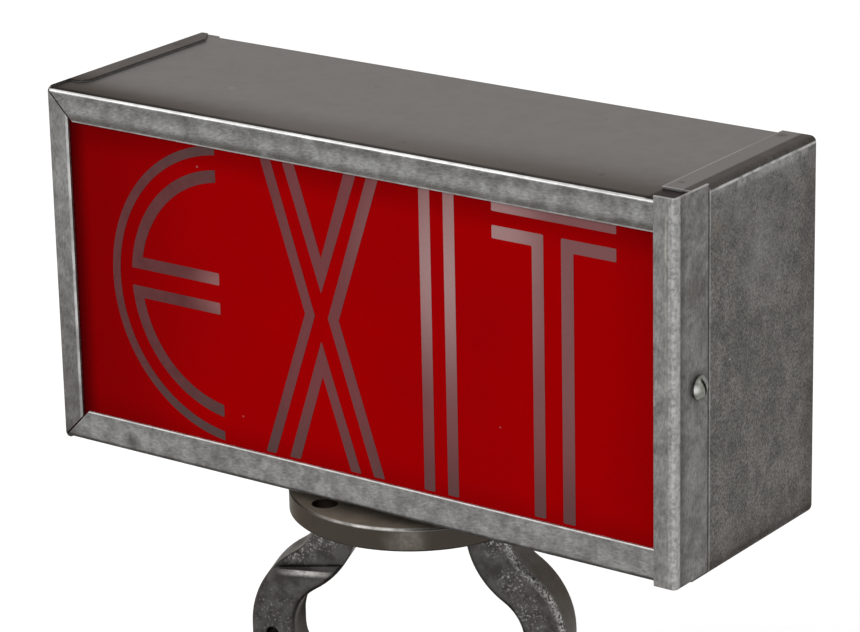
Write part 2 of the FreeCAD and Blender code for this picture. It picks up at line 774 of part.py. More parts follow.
def lamp_bracket():
    """Folded strip with an ear for each lampholder, clamped round the stem."""
    body = new_body("lamp_bracket")
    thin, half = sz.bracket_gauge, sz.bracket_span / 2
    axis = sz.lamp_height - sz.gauge
    tall = axis + sz.ear_above
    section = outline(body, "bracket_section", "XZ_Plane", [
        (-half, 0), (half, 0), (half, tall), (half - thin, tall), (half - thin, thin),
        (thin - half, thin), (thin - half, tall), (-half, tall)])
    pad(body, section, sz.bracket_width, both=True)

    def fold(edge, x, z):
        spot = middle(edge)
        return runs_along(edge, "y") and near(abs(spot.x), x) and near(spot.z, z)

    soften(body, "Fillet", "bracket_folds_outside", sz.bracket_bend + thin,
           lambda edge: fold(edge, half, 0))
    soften(body, "Fillet", "bracket_folds_inside", sz.bracket_bend,
           lambda edge: fold(edge, half - thin, thin))
    soften(body, "Fillet", "ear_corners", sz.ear_corner,
           lambda edge: runs_along(edge, "x") and near(middle(edge).z, tall))
    pocket(body, circles(body, "bracket_stem_hole", "XY_Plane", [(0, 0, STEM_HOLE)]),
           thin * 2, back=True)
    hole = sz.fixing_shank + sz.thread_gap * 2
    holes = circles(body, "ear_holes", "YZ_Plane", [
        (0, axis + sz.terminal_radius, hole), (0, axis - sz.terminal_radius, hole)])
    pocket(body, holes, both=True)
    place(body, 0, 0, FLOOR_Z)
    return body


def face_side(body, side):
    """Places a piece that is drawn along +X from its lampholder's mounting face."""
    if side > 0:
        place(body, HOLDER_X, 0, LAMP_Z)
    else:
        place(body, -HOLDER_X, 0, LAMP_Z, turn=180)
    return body


def lampholder(label, side):
    """Porcelain body: round flange, cylindrical cup, and holes for fixings and terminals."""
    body = new_body(label)
    flange, cup, cavity = sz.holder_flange / 2, sz.holder_body / 2, sz.holder_cavity / 2
    section = outline(body, f"{label}_section", "XZ_Plane", [
        (0, 0), (0, flange), (sz.holder_base, flange), (sz.holder_base, cup),
        (sz.holder_length, cup), (sz.holder_length, cavity), (sz.holder_floor, cavity),
        (sz.holder_floor, 0)])
    revolve(body, section, "H_Axis")
    soften(body, "Fillet", f"{label}_edges", sz.holder_round,
           lambda edge: near(middle(edge).x, sz.holder_base, sz.holder_length)
           and isinstance(edge.Curve, Part.Circle))
    away = sz.terminal_radius
    hole = sz.fixing_shank + sz.thread_gap * 4
    pocket(body, circles(body, f"{label}_fixings", "YZ_Plane", [(0, away, hole), (0, -away, hole)]),
           back=True)
    pocket(body, circles(body, f"{label}_terminals", "YZ_Plane",
                         [(away, 0, hole), (-away, 0, hole)], offset=sz.holder_base),
           sz.terminal_depth + sz.lap_gap * 5)
    return face_side(body, side)


def screw_shell(label, side):
    """Thin brass cup with an inward foot, seated on the lampholder's floor."""
    body = new_body(label)
    outer, wall, foot = sz.shell_diameter / 2, sz.shell_wall, sz.shell_opening / 2
    low, high = sz.holder_floor, sz.holder_floor + sz.shell_length
    section = outline(body, f"{label}_section", "XZ_Plane", [
        (low, foot), (low, outer), (high, outer), (high, outer - wall), (low + wall, outer - wall),
        (low + wall, foot)])
    revolve(body, section, "H_Axis")
    return face_side(body, side)


def contact(label, side):
    """Centre contact: a small brass disc with a raised dome."""
    body = new_body(label)
    low, flat = sz.holder_floor, sz.holder_floor + sz.contact_gauge
    half, rise = sz.contact_diameter / 2, sz.contact_rise
    reach = half / 2
    dome = (reach * reach + rise * rise) / (rise * 2)
    section = outline(body, f"{label}_section", "XZ_Plane", [
        (low, 0), (low, half), (flat, half), (flat, reach, -dome), (flat + rise, 0)])
    revolve(body, section, "H_Axis")
    return face_side(body, side)


def bulb(label, side):
    """Sealed lamp: contact tip, screw base and a round globe on a conical neck."""
    body = new_body(label)
    tip = sz.holder_floor + sz.contact_gauge + sz.contact_rise + sz.bulb_tip_gap
    base, globe = sz.bulb_base / 2, sz.bulb_globe / 2
    rim = tip + sz.bulb_base_length
    centre = tip + sz.bulb_length - globe
    lean = math.radians(110)
    section = outline(body, f"{label}_section", "XZ_Plane", [
        (tip, 0), (tip, base / 4), (tip + 1, base * 0.35), (tip + 3, base * 0.9),
        (tip + 4, base), (rim, base), (rim + 1, base * 0.95),
        (centre + globe * math.cos(lean), globe * math.sin(lean), -globe), (centre + globe, 0)])
    revolve(body, section, "H_Axis")
    return face_side(body, side)


def screw_set(label, y, z, tail):
    """Four alike round-head screws along X on the lampholders' flanges, drawn at one of them."""
    body = new_body(label)
    seat = HOLDER_X + sz.holder_base
    shank = circles(body, f"{label}_shank", "YZ_Plane", [(y, z, sz.fixing_shank)], offset=seat - tail)
    head = circles(body, f"{label}_head", "YZ_Plane", [(y, z, sz.fixing_head)], offset=seat)
    first = pad(body, shank, tail)
    second = pad(body, head, sz.fixing_rise)
    crown = seat + sz.fixing_rise
    half, wing = sz.fixing_slot / 2, sz.fixing_head / 2
    cut = rectangle(body, f"{label}_slot", "YZ_Plane", (y - half, z - wing), (y + half, z + wing),
                    offset=crown)
    third = pocket(body, cut, sz.fixing_rise / 2)
    side_plane = "XY_Plane" if isinstance(y, int) else "XZ_Plane"
    mirror_all(body, f"{label}_set", [first, second, third], [side_plane, "YZ_Plane"])
    soften(body, "Fillet", f"{label}_crowns", sz.fixing_edge,
           lambda edge: near(abs(middle(edge).x), crown) and isinstance(edge.Curve, Part.Circle))
    place(body, 0, 0, LAMP_Z)
    return body


# ------------------------------------------------------------------------------------ wires


def tube(label, points, diameter, bend):
    """A round wire along straight runs joined by tangent arcs of one radius."""
    spots = [Vector(*(Dim.of(v).value for v in p)) for p in points]
    edges, start = [], spots[0]
    for before, corner, after in zip(spots, spots[1:], spots[2:]):
        arrive, leave = (corner - before).normalize(), (after - corner).normalize()
        turn = arrive.getAngle(leave)
        reach = bend.value * math.tan(turn / 2)
        first, last = corner - arrive * reach, corner + leave * reach
        inward = (leave - arrive).normalize()
        centre = corner + inward * (bend.value / math.cos(turn / 2))
        halfway = centre - inward * bend.value
        edges += [Part.LineSegment(start, first), Part.Arc(first, halfway, last)]
        start = last
    edges.append(Part.LineSegment(start, spots[-1]))
    path = Part.Wire([edge.toShape() for edge in edges])
    section = Part.Circle(spots[0], spots[1] - spots[0], diameter.value / 2).toShape()
    wire = doc.addObject("Part::Feature", label)
    wire.Label = label
    wire.Shape = path.makePipeShell([Part.Wire([section])], True, False)
    expected = math.pi * diameter.value ** 2 / 4 * path.Length
    print(f"{label}: radius {bend.value:.1f}, length {path.Length:.1f}, "
          f"volume {wire.Shape.Volume / expected:.4f} of its section times its length")
    return wire


def link_wire(label, side):
    """From one lampholder's terminal round the bracket to the other's, on one side of it."""
    x = HOLDER_X + sz.holder_base + sz.wire_diameter / 2 + sz.wire_gap / 2
    near_y = side * (sz.terminal_radius + sz.fixing_head / 2 + sz.wire_gap)
    far_y = side * sz.link_setback
    points = [(x, near_y, LAMP_Z), (x, far_y, LAMP_Z), (-x, far_y, LAMP_Z), (-x, near_y, LAMP_Z)]
    return tube(label, points, sz.wire_diameter, sz.wire_bend)


def lead_wire(label, side):
    """From the underside of a terminal down past the bracket and into the stem."""
    x = side * (HOLDER_X + sz.holder_base + sz.wire_diameter / 2 + sz.wire_gap / 2)
    y = -side * sz.terminal_radius
    low = STEM_TOP_Z + sz.bushing_lip + sz.lead_clear
    drop_x, drop_y = side * sz.lead_offset, -side * sz.lead_offset
    points = [(x, y, LAMP_Z - sz.fixing_head / 2 - sz.wire_gap), (x, y, low), (drop_x, y, low),
              (drop_x, drop_y, low), (drop_x, drop_y, STEM_END_Z + sz.stem_below / 2)]
    return tube(label, points, sz.wire_diameter, sz.wire_bend)


# ------------------------------------------------------------------------------------- build


def build():
    """Every piece of the light, in the order in which it goes together."""
    bore = sz.stem_bore
    stem = ring_piece("stem_nipple", [(0, 0, sz.stem_diameter), (0, 0, bore)],
                      STEM_TOP_Z - STEM_END_Z, STEM_END_Z)
    spacer = ring_piece("stem_spacer", [(0, 0, sz.spacer_diameter), (0, 0, STEM_HOLE)],
                        sz.spacer_height, sz.yoke_height)
    washer = ring_piece("lower_washer", [(0, 0, sz.washer_diameter), (0, 0, STEM_HOLE)],
                        sz.washer_thickness, WASHER_Z)
    pieces = [
        yoke_stand(), stem, spacer, washer, locknut("lower_locknut", LOWER_NUT_Z),
        housing_shell(), left_end_cap(), right_end_cap(), glass_retainer(), retainer_screw(),
        retainer_nut(), exit_glass(), glass_guide("lower_glass_guide", False),
        glass_guide("upper_glass_guide", True), lamp_bracket(),
        locknut("inner_locknut", BRACKET_TOP_Z), stem_bushing()]
    for word, side in (("left", -1), ("right", 1)):
        pieces += [lampholder(f"{word}_lampholder", side), screw_shell(f"{word}_screw_shell", side),
                   contact(f"{word}_contact", side), bulb(f"{word}_bulb", side)]
    through = sz.holder_base + sz.bracket_gauge + sz.fixing_reach
    pieces += [
        screw_set("lampholder_screws", 0, sz.terminal_radius, through),
        screw_set("terminal_screws", sz.terminal_radius, 0, sz.terminal_depth),
        link_wire("live_link", -1), link_wire("neutral_link", 1),
        lead_wire("live_lead", 1), lead_wire("neutral_lead", -1)]
    return pieces


def export(pieces):
    """Checks every object and piece, and then writes one STEP file for each piece."""
    doc.recompute()
    failed = [o.Name for o in doc.Objects if {"Invalid", "Error"} & set(o.State)]
    if failed:
        raise ValueError(f"failed objects: {failed}")
    for piece in pieces:
        if piece.Shape.isNull() or not piece.Shape.isValid():
            raise ValueError(f"{piece.Label} has no valid shape")
    os.makedirs("parts", exist_ok=True)
    for piece in pieces:
        piece.Shape.exportStep(f"parts/{piece.Label}.step")
        print(f"{piece.Label}: {len(piece.Shape.Solids)} solid(s), {piece.Shape.Volume / 1000:.2f} cm3")


export(build())
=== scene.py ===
"""Emergency exit light: finishes, the word on the glass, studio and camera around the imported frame.

Everything is in metres in the row's frame. Places on the housing are given in millimetres from
its own corner: the left end cap's outer face, the front of the lips and the shell's underside.
"""
import logging
import math
from dataclasses import dataclass, field, replace
from enum import Enum
from typing import Iterable, Sequence

import bmesh
import bpy
from mathutils import Euler, Matrix, Vector


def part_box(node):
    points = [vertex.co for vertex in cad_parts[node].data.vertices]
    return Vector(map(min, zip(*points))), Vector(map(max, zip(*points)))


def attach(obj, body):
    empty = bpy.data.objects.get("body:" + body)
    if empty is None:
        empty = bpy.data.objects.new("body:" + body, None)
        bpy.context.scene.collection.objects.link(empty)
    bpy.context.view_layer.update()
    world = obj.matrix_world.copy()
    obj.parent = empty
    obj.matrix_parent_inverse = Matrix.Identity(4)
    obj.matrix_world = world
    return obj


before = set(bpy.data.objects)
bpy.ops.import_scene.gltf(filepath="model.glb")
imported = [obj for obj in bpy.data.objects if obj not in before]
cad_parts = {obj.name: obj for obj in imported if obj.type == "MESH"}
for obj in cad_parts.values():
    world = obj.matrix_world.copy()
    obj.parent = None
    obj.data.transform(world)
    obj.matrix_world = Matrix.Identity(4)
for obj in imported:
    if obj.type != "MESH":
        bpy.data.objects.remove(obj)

LOG = logging.getLogger("exit_light")
MM = 0.001
BODY = "root"

Colour = tuple[float, float, float]
Place = tuple[float, float, float]
Socket = bpy.types.NodeSocket


class Axis(Enum):
    """What a ramp runs along: an axis of the row, or the distance from the stem's axis."""

    X = 0
    Y = 1
    Z = 2
    RADIUS = 3


class Slot(Enum):
    """Material slots of the record named for the added pieces; the script gives no piece one."""

    LETTERS = "ruby_glass"


# ------------------------------------------------------------------------------ node graphs


class Graph:
    """Adds and links nodes in one shader tree."""

    def __init__(self, tree: bpy.types.NodeTree) -> None:
        """Takes the tree that the nodes go into."""
        self.tree = tree

    def add(self, kind: str, **settings: object) -> bpy.types.Node:
        """Adds a node.

        Args:
            kind: The node's type, such as ShaderNodeMath.
            settings: Properties of the node by name.

        Returns:
            The new node.
        """
        node = self.tree.nodes.new(kind)
        for name, value in settings.items():
            setattr(node, name, value)
        return node

    def feed(self, target: Socket, source: object) -> None:
        """Links a socket to another, or sets its own value."""
        if isinstance(source, bpy.types.NodeSocket):
            self.tree.links.new(source, target)
        else:
            target.default_value = source

    def math(self, operation: str, first: object, second: object = 0.0, clamp: bool = False) -> Socket:
        """Adds a Math node.

        Args:
            operation: The node's operation.
            first: The first value or socket.
            second: The second value or socket.
            clamp: Whether the result stays from 0 to 1.

        Returns:
            The result's socket.
        """
        node = self.add("ShaderNodeMath", operation=operation, use_clamp=clamp)
        self.feed(node.inputs[0], first)
        self.feed(node.inputs[1], second)
        return node.outputs[0]

    def mix(self, mask: object, first: object, second: object, mode: str = "MIX") -> Socket:
        """Adds a colour Mix node.

        Args:
            mask: The share of the second colour.
            first: The colour where the mask is nought.
            second: The colour where the mask is one.
            mode: The node's blend type.

        Returns:
            The mixed colour's socket.
        """
        node = self.add("ShaderNodeMix", data_type="RGBA", blend_type=mode)
        self.feed(node.inputs["Factor"], mask)
        self.feed(node.inputs[6], opaque(first))
        self.feed(node.inputs[7], opaque(second))
        return node.outputs[2]

    def blend(self, mask: Socket, first: object, second: float) -> Socket:
        """Adds a number Mix node.

        Args:
            mask: The share of the second number.
            first: The number or socket where the mask is nought.
            second: The number where the mask is one.

        Returns:
            The mixed number's socket.
        """
        node = self.add("ShaderNodeMix", data_type="FLOAT")
        self.feed(node.inputs["Factor"], mask)
        self.feed(node.inputs[2], first)
        self.feed(node.inputs[3], second)
        return node.outputs[0]

    def group(self, tree: bpy.types.NodeTree, **values: object) -> Socket:
        """Places an effect's group.

        Args:
            tree: The group's tree.
            values: Its inputs by name, with underscores for spaces.

        Returns:
            The group's first output.
        """
        node = self.add("ShaderNodeGroup", node_tree=tree)
        for name, value in values.items():
            self.feed(node.inputs[name.replace("_", " ")], value)
        return node.outputs[0]


def opaque(colour: object) -> object:
    """Gives a plain colour the fourth number that a socket wants."""
    return (*colour, 1.0) if isinstance(colour, tuple) and len(colour) == 3 else colour


class EffectShop:
    """Builds each shared effect once, as a shader node group."""

    def __init__(self) -> None:
        """Builds the groups."""
        self.step = self.soft_step()
        self.spot = self.soft_spot()
        self.mottle = self.mottling()
        self.grain = self.brushed_grain()
        self.pebbles = self.pebbled_skin()

    @staticmethod
    def open_group(name: str, inputs: Sequence[tuple[str, str, object]], output: str) -> tuple[Graph, object, object]:
        """Starts a group with its sockets.

        Args:
            name: The group's name.
            inputs: Name, kind and first value of each input.
            output: Name of the one output, a number.

        Returns:
            The group's graph, its input node and its output node.
        """
        tree = bpy.data.node_groups.new(name, "ShaderNodeTree")
        for label, kind, value in inputs:
            socket = tree.interface.new_socket(label, in_out="INPUT", socket_type=kind)
            if value is not None:
                socket.default_value = value
        tree.interface.new_socket(output, in_out="OUTPUT", socket_type="NodeSocketFloat")
        graph = Graph(tree)
        return graph, graph.add("NodeGroupInput"), graph.add("NodeGroupOutput")

    def soft_step(self) -> bpy.types.NodeTree:
        """Builds the soft step: nought at one place of a coordinate and one at another."""
        graph, start, end = self.open_group("Soft_Step", [
            ("Coordinate", "NodeSocketFloat", 0.0), ("Zero At", "NodeSocketFloat", 0.0),
            ("One At", "NodeSocketFloat", 1.0)], "Mask")
        step = graph.add("ShaderNodeMapRange", interpolation_type="SMOOTHSTEP")
        graph.feed(step.inputs["Value"], start.outputs[0])
        graph.feed(step.inputs["From Min"], start.outputs[1])
        graph.feed(step.inputs["From Max"], start.outputs[2])
        graph.feed(end.inputs[0], step.outputs[0])
        return graph.tree

    def soft_spot(self) -> bpy.types.NodeTree:
        """Builds the round soft spot about a centre."""
        graph, start, end = self.open_group("Soft_Spot", [
            ("Vector", "NodeSocketVector", None), ("Centre", "NodeSocketVector", None),
            ("Radius", "NodeSocketFloat", 0.01)], "Mask")
        apart = graph.add("ShaderNodeVectorMath", operation="DISTANCE")
        graph.feed(apart.inputs[0], start.outputs[0])
        graph.feed(apart.inputs[1], start.outputs[1])
        share = graph.math("DIVIDE", apart.outputs["Value"], start.outputs[2])
        step = graph.add("ShaderNodeMapRange", interpolation_type="SMOOTHSTEP")
        graph.feed(step.inputs["Value"], share)
        step.inputs["To Min"].default_value, step.inputs["To Max"].default_value = 1.0, 0.0
        graph.feed(end.inputs[0], step.outputs[0])
        return graph.tree

    def mottling(self) -> bpy.types.NodeTree:
        """Builds cloudy patches with a chosen contrast."""
        graph, start, end = self.open_group("Mottling", [
            ("Vector", "NodeSocketVector", None), ("Scale", "NodeSocketFloat", 60.0),
            ("Detail", "NodeSocketFloat", 5.0), ("Low", "NodeSocketFloat", 0.35),
            ("High", "NodeSocketFloat", 0.65)], "Mask")
        cloud = graph.add("ShaderNodeTexNoise")
        cloud.inputs["Roughness"].default_value = 0.62
        graph.feed(cloud.inputs["Vector"], start.outputs[0])
        graph.feed(cloud.inputs["Scale"], start.outputs[1])
        graph.feed(cloud.inputs["Detail"], start.outputs[2])
        step = graph.add("ShaderNodeMapRange", interpolation_type="SMOOTHSTEP")
        graph.feed(step.inputs["Value"], cloud.outputs[0])
        graph.feed(step.inputs["From Min"], start.outputs[3])
        graph.feed(step.inputs["From Max"], start.outputs[4])
        graph.feed(end.inputs[0], step.outputs[0])
        return graph.tree

    def brushed_grain(self) -> bpy.types.NodeTree:
        """Builds fine scratches that run one way."""
        graph, start, end = self.open_group("Brushed_Grain", [
            ("Vector", "NodeSocketVector", None), ("Turn", "NodeSocketVector", None),
            ("Stretch", "NodeSocketVector", None), ("Detail", "NodeSocketFloat", 4.0)], "Value")
        turned = graph.add("ShaderNodeVectorRotate", rotation_type="EULER_XYZ")
        graph.feed(turned.inputs["Vector"], start.outputs[0])
        graph.feed(turned.inputs["Rotation"], start.outputs[1])
        drawn = graph.add("ShaderNodeVectorMath", operation="MULTIPLY")
        graph.feed(drawn.inputs[0], turned.outputs[0])
        graph.feed(drawn.inputs[1], start.outputs[2])
        lines = graph.add("ShaderNodeTexNoise")
        lines.inputs["Scale"].default_value = 1.0
        lines.inputs["Roughness"].default_value = 0.7
        graph.feed(lines.inputs["Vector"], drawn.outputs[0])
        graph.feed(lines.inputs["Detail"], start.outputs[3])
        graph.feed(end.inputs[0], lines.outputs[0])
        return graph.tree

    def pebbled_skin(self) -> bpy.types.NodeTree:
        """Builds the raised pebbles of a sand casting."""
        graph, start, end = self.open_group("Pebbled_Skin", [
            ("Vector", "NodeSocketVector", None), ("Scale", "NodeSocketFloat", 500.0)], "Height")
        coarse = graph.add("ShaderNodeTexNoise")
        coarse.inputs["Detail"].default_value = 3.0
        graph.feed(coarse.inputs["Vector"], start.outputs[0])
        graph.feed(coarse.inputs["Scale"], graph.math("MULTIPLY", start.outputs[1], 0.35))
        grit = graph.add("ShaderNodeTexVoronoi", feature="SMOOTH_F1")
        graph.feed(grit.inputs["Vector"], start.outputs[0])
        graph.feed(grit.inputs["Scale"], start.outputs[1])
        both = graph.math("SUBTRACT", coarse.outputs[0], graph.math("MULTIPLY", grit.outputs[0], 0.35))
        graph.feed(end.inputs[0], both)
        return graph.tree


# -------------------------------------------------------------------------------- finishes


@dataclass(frozen=True)
class Ramp:
    """A soft step along an axis, in metres: nought at one place and one at the other."""

    axis: Axis
    zero_at: float
    one_at: float


@dataclass(frozen=True)
class Spot:
    """A round soft spot, in metres."""

    centre: Place
    radius: float


@dataclass(frozen=True)
class Layer:
    """A tint laid over a finish where all its ramps and its spot meet."""

    tone: Colour
    amount: float = 1.0
    ramps: tuple[Ramp, ...] = ()
    spot: Spot | None = None
    patches: float = 0.0
    patch_scale: float = 70.0
    patch_low: float = 0.4
    roughness: float | None = None
    metallic: float | None = None


@dataclass(frozen=True)
class Grain:
    """Fine scratches: the turn of their direction in degrees, and their fineness along each axis."""

    turn: Place = (0.0, 0.0, 0.0)
    stretch: Place = (40.0, 40.0, 2500.0)
    contrast: float = 0.3
    bump: float = 0.12


@dataclass(frozen=True)
class Finish:
    """A surface with a mottled colour, fine grain and tinted layers; glance tints its lowest reflections."""

    name: str
    tone: Colour
    shade: Colour
    roughness: float = 0.45
    metallic: float = 0.0
    specular: float = 0.5
    glance: Colour = (1.0, 1.0, 1.0)
    coat: float = 0.0
    mottle_scale: float = 70.0
    mottle_low: float = 0.35
    mottle_high: float = 0.65
    rough_patches: float = 0.08
    grain: Grain | None = None
    layers: tuple[Layer, ...] = ()

    def material(self, shop: EffectShop) -> bpy.types.Material:
        """Builds the material.

        Args:
            shop: The shared effects.

        Returns:
            The finished material.
        """
        made = bpy.data.materials.new(self.name)
        made.use_nodes = True
        graph = Graph(made.node_tree)
        shader = made.node_tree.nodes["Principled BSDF"]
        where = graph.add("ShaderNodeTexCoord").outputs["Object"]
        patches = graph.group(shop.mottle, Vector=where, Scale=self.mottle_scale,
                              Low=self.mottle_low, High=self.mottle_high)
        colour = graph.mix(patches, self.tone, self.shade)
        roughness = graph.math("MULTIPLY_ADD", patches, self.rough_patches)
        roughness.node.inputs[2].default_value = self.roughness - self.rough_patches / 2
        metallic: object = self.metallic
        height = self.relief(graph, shop, where)
        if self.grain is not None:
            colour, height = self.grained(graph, shop, where, colour, height)
        for layer in self.layers:
            mask = self.layer_mask(graph, shop, where, layer)
            colour = graph.mix(mask, colour, layer.tone)
            if layer.roughness is not None:
                roughness = graph.blend(mask, roughness, layer.roughness)
            if layer.metallic is not None:
                metallic = graph.blend(mask, metallic, layer.metallic)
        graph.feed(shader.inputs["Base Color"], colour)
        graph.feed(shader.inputs["Roughness"], roughness)
        graph.feed(shader.inputs["Metallic"], metallic)
        shader.inputs["Specular IOR Level"].default_value = self.specular
        shader.inputs["Specular Tint"].default_value = opaque(self.glance)
        shader.inputs["Coat Weight"].default_value = self.coat
        if height is not None:
            bump = graph.add("ShaderNodeBump")
            bump.inputs["Strength"].default_value = self.bump_strength()
            bump.inputs["Distance"].default_value = 0.2 * MM
            graph.feed(bump.inputs["Height"], height)
            graph.feed(shader.inputs["Normal"], bump.outputs[0])
        return made

    def bump_strength(self) -> float:
        """Returns how strongly the height shows."""
        return self.grain.bump if self.grain is not None else 0.3

    def relief(self, graph: Graph, shop: EffectShop, where: Socket) -> Socket | None:
        """Returns the height of the surface's own relief, if it has one."""
        return None

    def grained(self, graph: Graph, shop: EffectShop, where: Socket, colour: Socket,
                height: Socket | None) -> tuple[Socket, Socket]:
        """Lays the grain over the colour and the height.

        Args:
            graph: The material's graph.
            shop: The shared effects.
            where: The object's coordinates.
            colour: The colour so far.
            height: The height so far, if any.

        Returns:
            The colour and the height with the grain.
        """
        lines = graph.group(shop.grain, Vector=where, Stretch=self.grain.stretch,
                            Turn=tuple(math.radians(angle) for angle in self.grain.turn))
        lift = graph.math("MULTIPLY", graph.math("SUBTRACT", lines, 0.5), self.grain.contrast * 2)
        level = graph.math("ADD", lift, 1.0)
        colour = graph.mix(1.0, colour, level, mode="MULTIPLY")
        return colour, lines if height is None else graph.math("ADD", height, lines)

    @staticmethod
    def layer_mask(graph: Graph, shop: EffectShop, where: Socket, layer: Layer) -> Socket:
        """Works out where a layer lies.

        Args:
            graph: The material's graph.
            shop: The shared effects.
            where: The object's coordinates.
            layer: The layer.

        Returns:
            The layer's mask.
        """
        apart = graph.add("ShaderNodeSeparateXYZ")
        graph.feed(apart.inputs[0], where)
        mask: object = layer.amount
        for ramp in layer.ramps:
            if ramp.axis is Axis.RADIUS:
                flat = graph.add("ShaderNodeVectorMath", operation="MULTIPLY")
                graph.feed(flat.inputs[0], where)
                flat.inputs[1].default_value = (1.0, 1.0, 0.0)
                length = graph.add("ShaderNodeVectorMath", operation="LENGTH")
                graph.feed(length.inputs[0], flat.outputs[0])
                along = length.outputs["Value"]
            else:
                along = apart.outputs[ramp.axis.value]
            step = graph.group(shop.step, Coordinate=along, Zero_At=ramp.zero_at, One_At=ramp.one_at)
            mask = graph.math("MULTIPLY", step, mask)
        if layer.spot is not None:
            spot = graph.group(shop.spot, Vector=where, Centre=layer.spot.centre, Radius=layer.spot.radius)
            mask = graph.math("MULTIPLY", spot, mask)
        if layer.patches:
            cloud = graph.group(shop.mottle, Vector=where, Scale=layer.patch_scale,
                                Low=layer.patch_low, High=layer.patch_low + 0.2)
            keep = graph.math("MULTIPLY_ADD", cloud, layer.patches)
            keep.node.inputs[2].default_value = 1.0 - layer.patches
            mask = graph.math("MULTIPLY", keep, mask)
        return mask


@dataclass(frozen=True)
class CastFinish(Finish):
    """A sand casting: pebbled; the bright pebble tops are painted highlights laid on as layers."""

    pebble_scale: float = 950.0
    relief_strength: float = 0.55

    def bump_strength(self) -> float:
        """Returns how strongly the pebbles show."""
        return self.relief_strength

    def relief(self, graph: Graph, shop: EffectShop, where: Socket) -> Socket:
        """Returns the height of the pebbles."""
        return graph.group(shop.pebbles, Vector=where, Scale=self.pebble_scale)


@dataclass(frozen=True)
class GlassFinish(Finish):
    """Glass with a plain metallic and transmission weight."""

    transmission: float = 0.0

    def material(self, shop: EffectShop) -> bpy.types.Material:
        """Builds the material, with its transmission."""
        made = super().material(shop)
        shader = made.node_tree.nodes["Principled BSDF"]
        shader.inputs["Transmission Weight"].default_value = self.transmission
        shader.inputs["IOR"].default_value = 1.5
        return made


# --------------------------------------------------------------------------------- pieces


def dress(name: str, material: bpy.types.Material) -> None:
    """Gives a node of the frame its finish."""
    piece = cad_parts[name]
    piece.data.materials.clear()
    piece.data.materials.append(material)
    LOG.info("dressed %s in %s", name, material.name)


@dataclass(frozen=True)
class HousingFrame:
    """The housing's own corner, found from its nodes, with its sizes in millimetres."""

    corner: Vector = field(default_factory=lambda: Vector((
        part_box("left_end_cap")[0].x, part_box("housing_shell")[0].y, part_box("housing_shell")[0].z)))

    def at(self, x: float, y: float, z: float) -> Place:
        """Returns a place on the housing, given in millimetres, in the row's frame."""
        return tuple(self.corner + Vector((x, y, z)) * MM)

    def ramp(self, axis: Axis, zero_at: float, one_at: float) -> Ramp:
        """Returns a ramp along an axis of the housing, given in millimetres."""
        start = self.corner[axis.value]
        return Ramp(axis, start + zero_at * MM, start + one_at * MM)

    def spot(self, x: float, y: float, z: float, radius: float) -> Spot:
        """Returns a spot on the housing, given in millimetres."""
        return Spot(self.at(x, y, z), radius * MM)


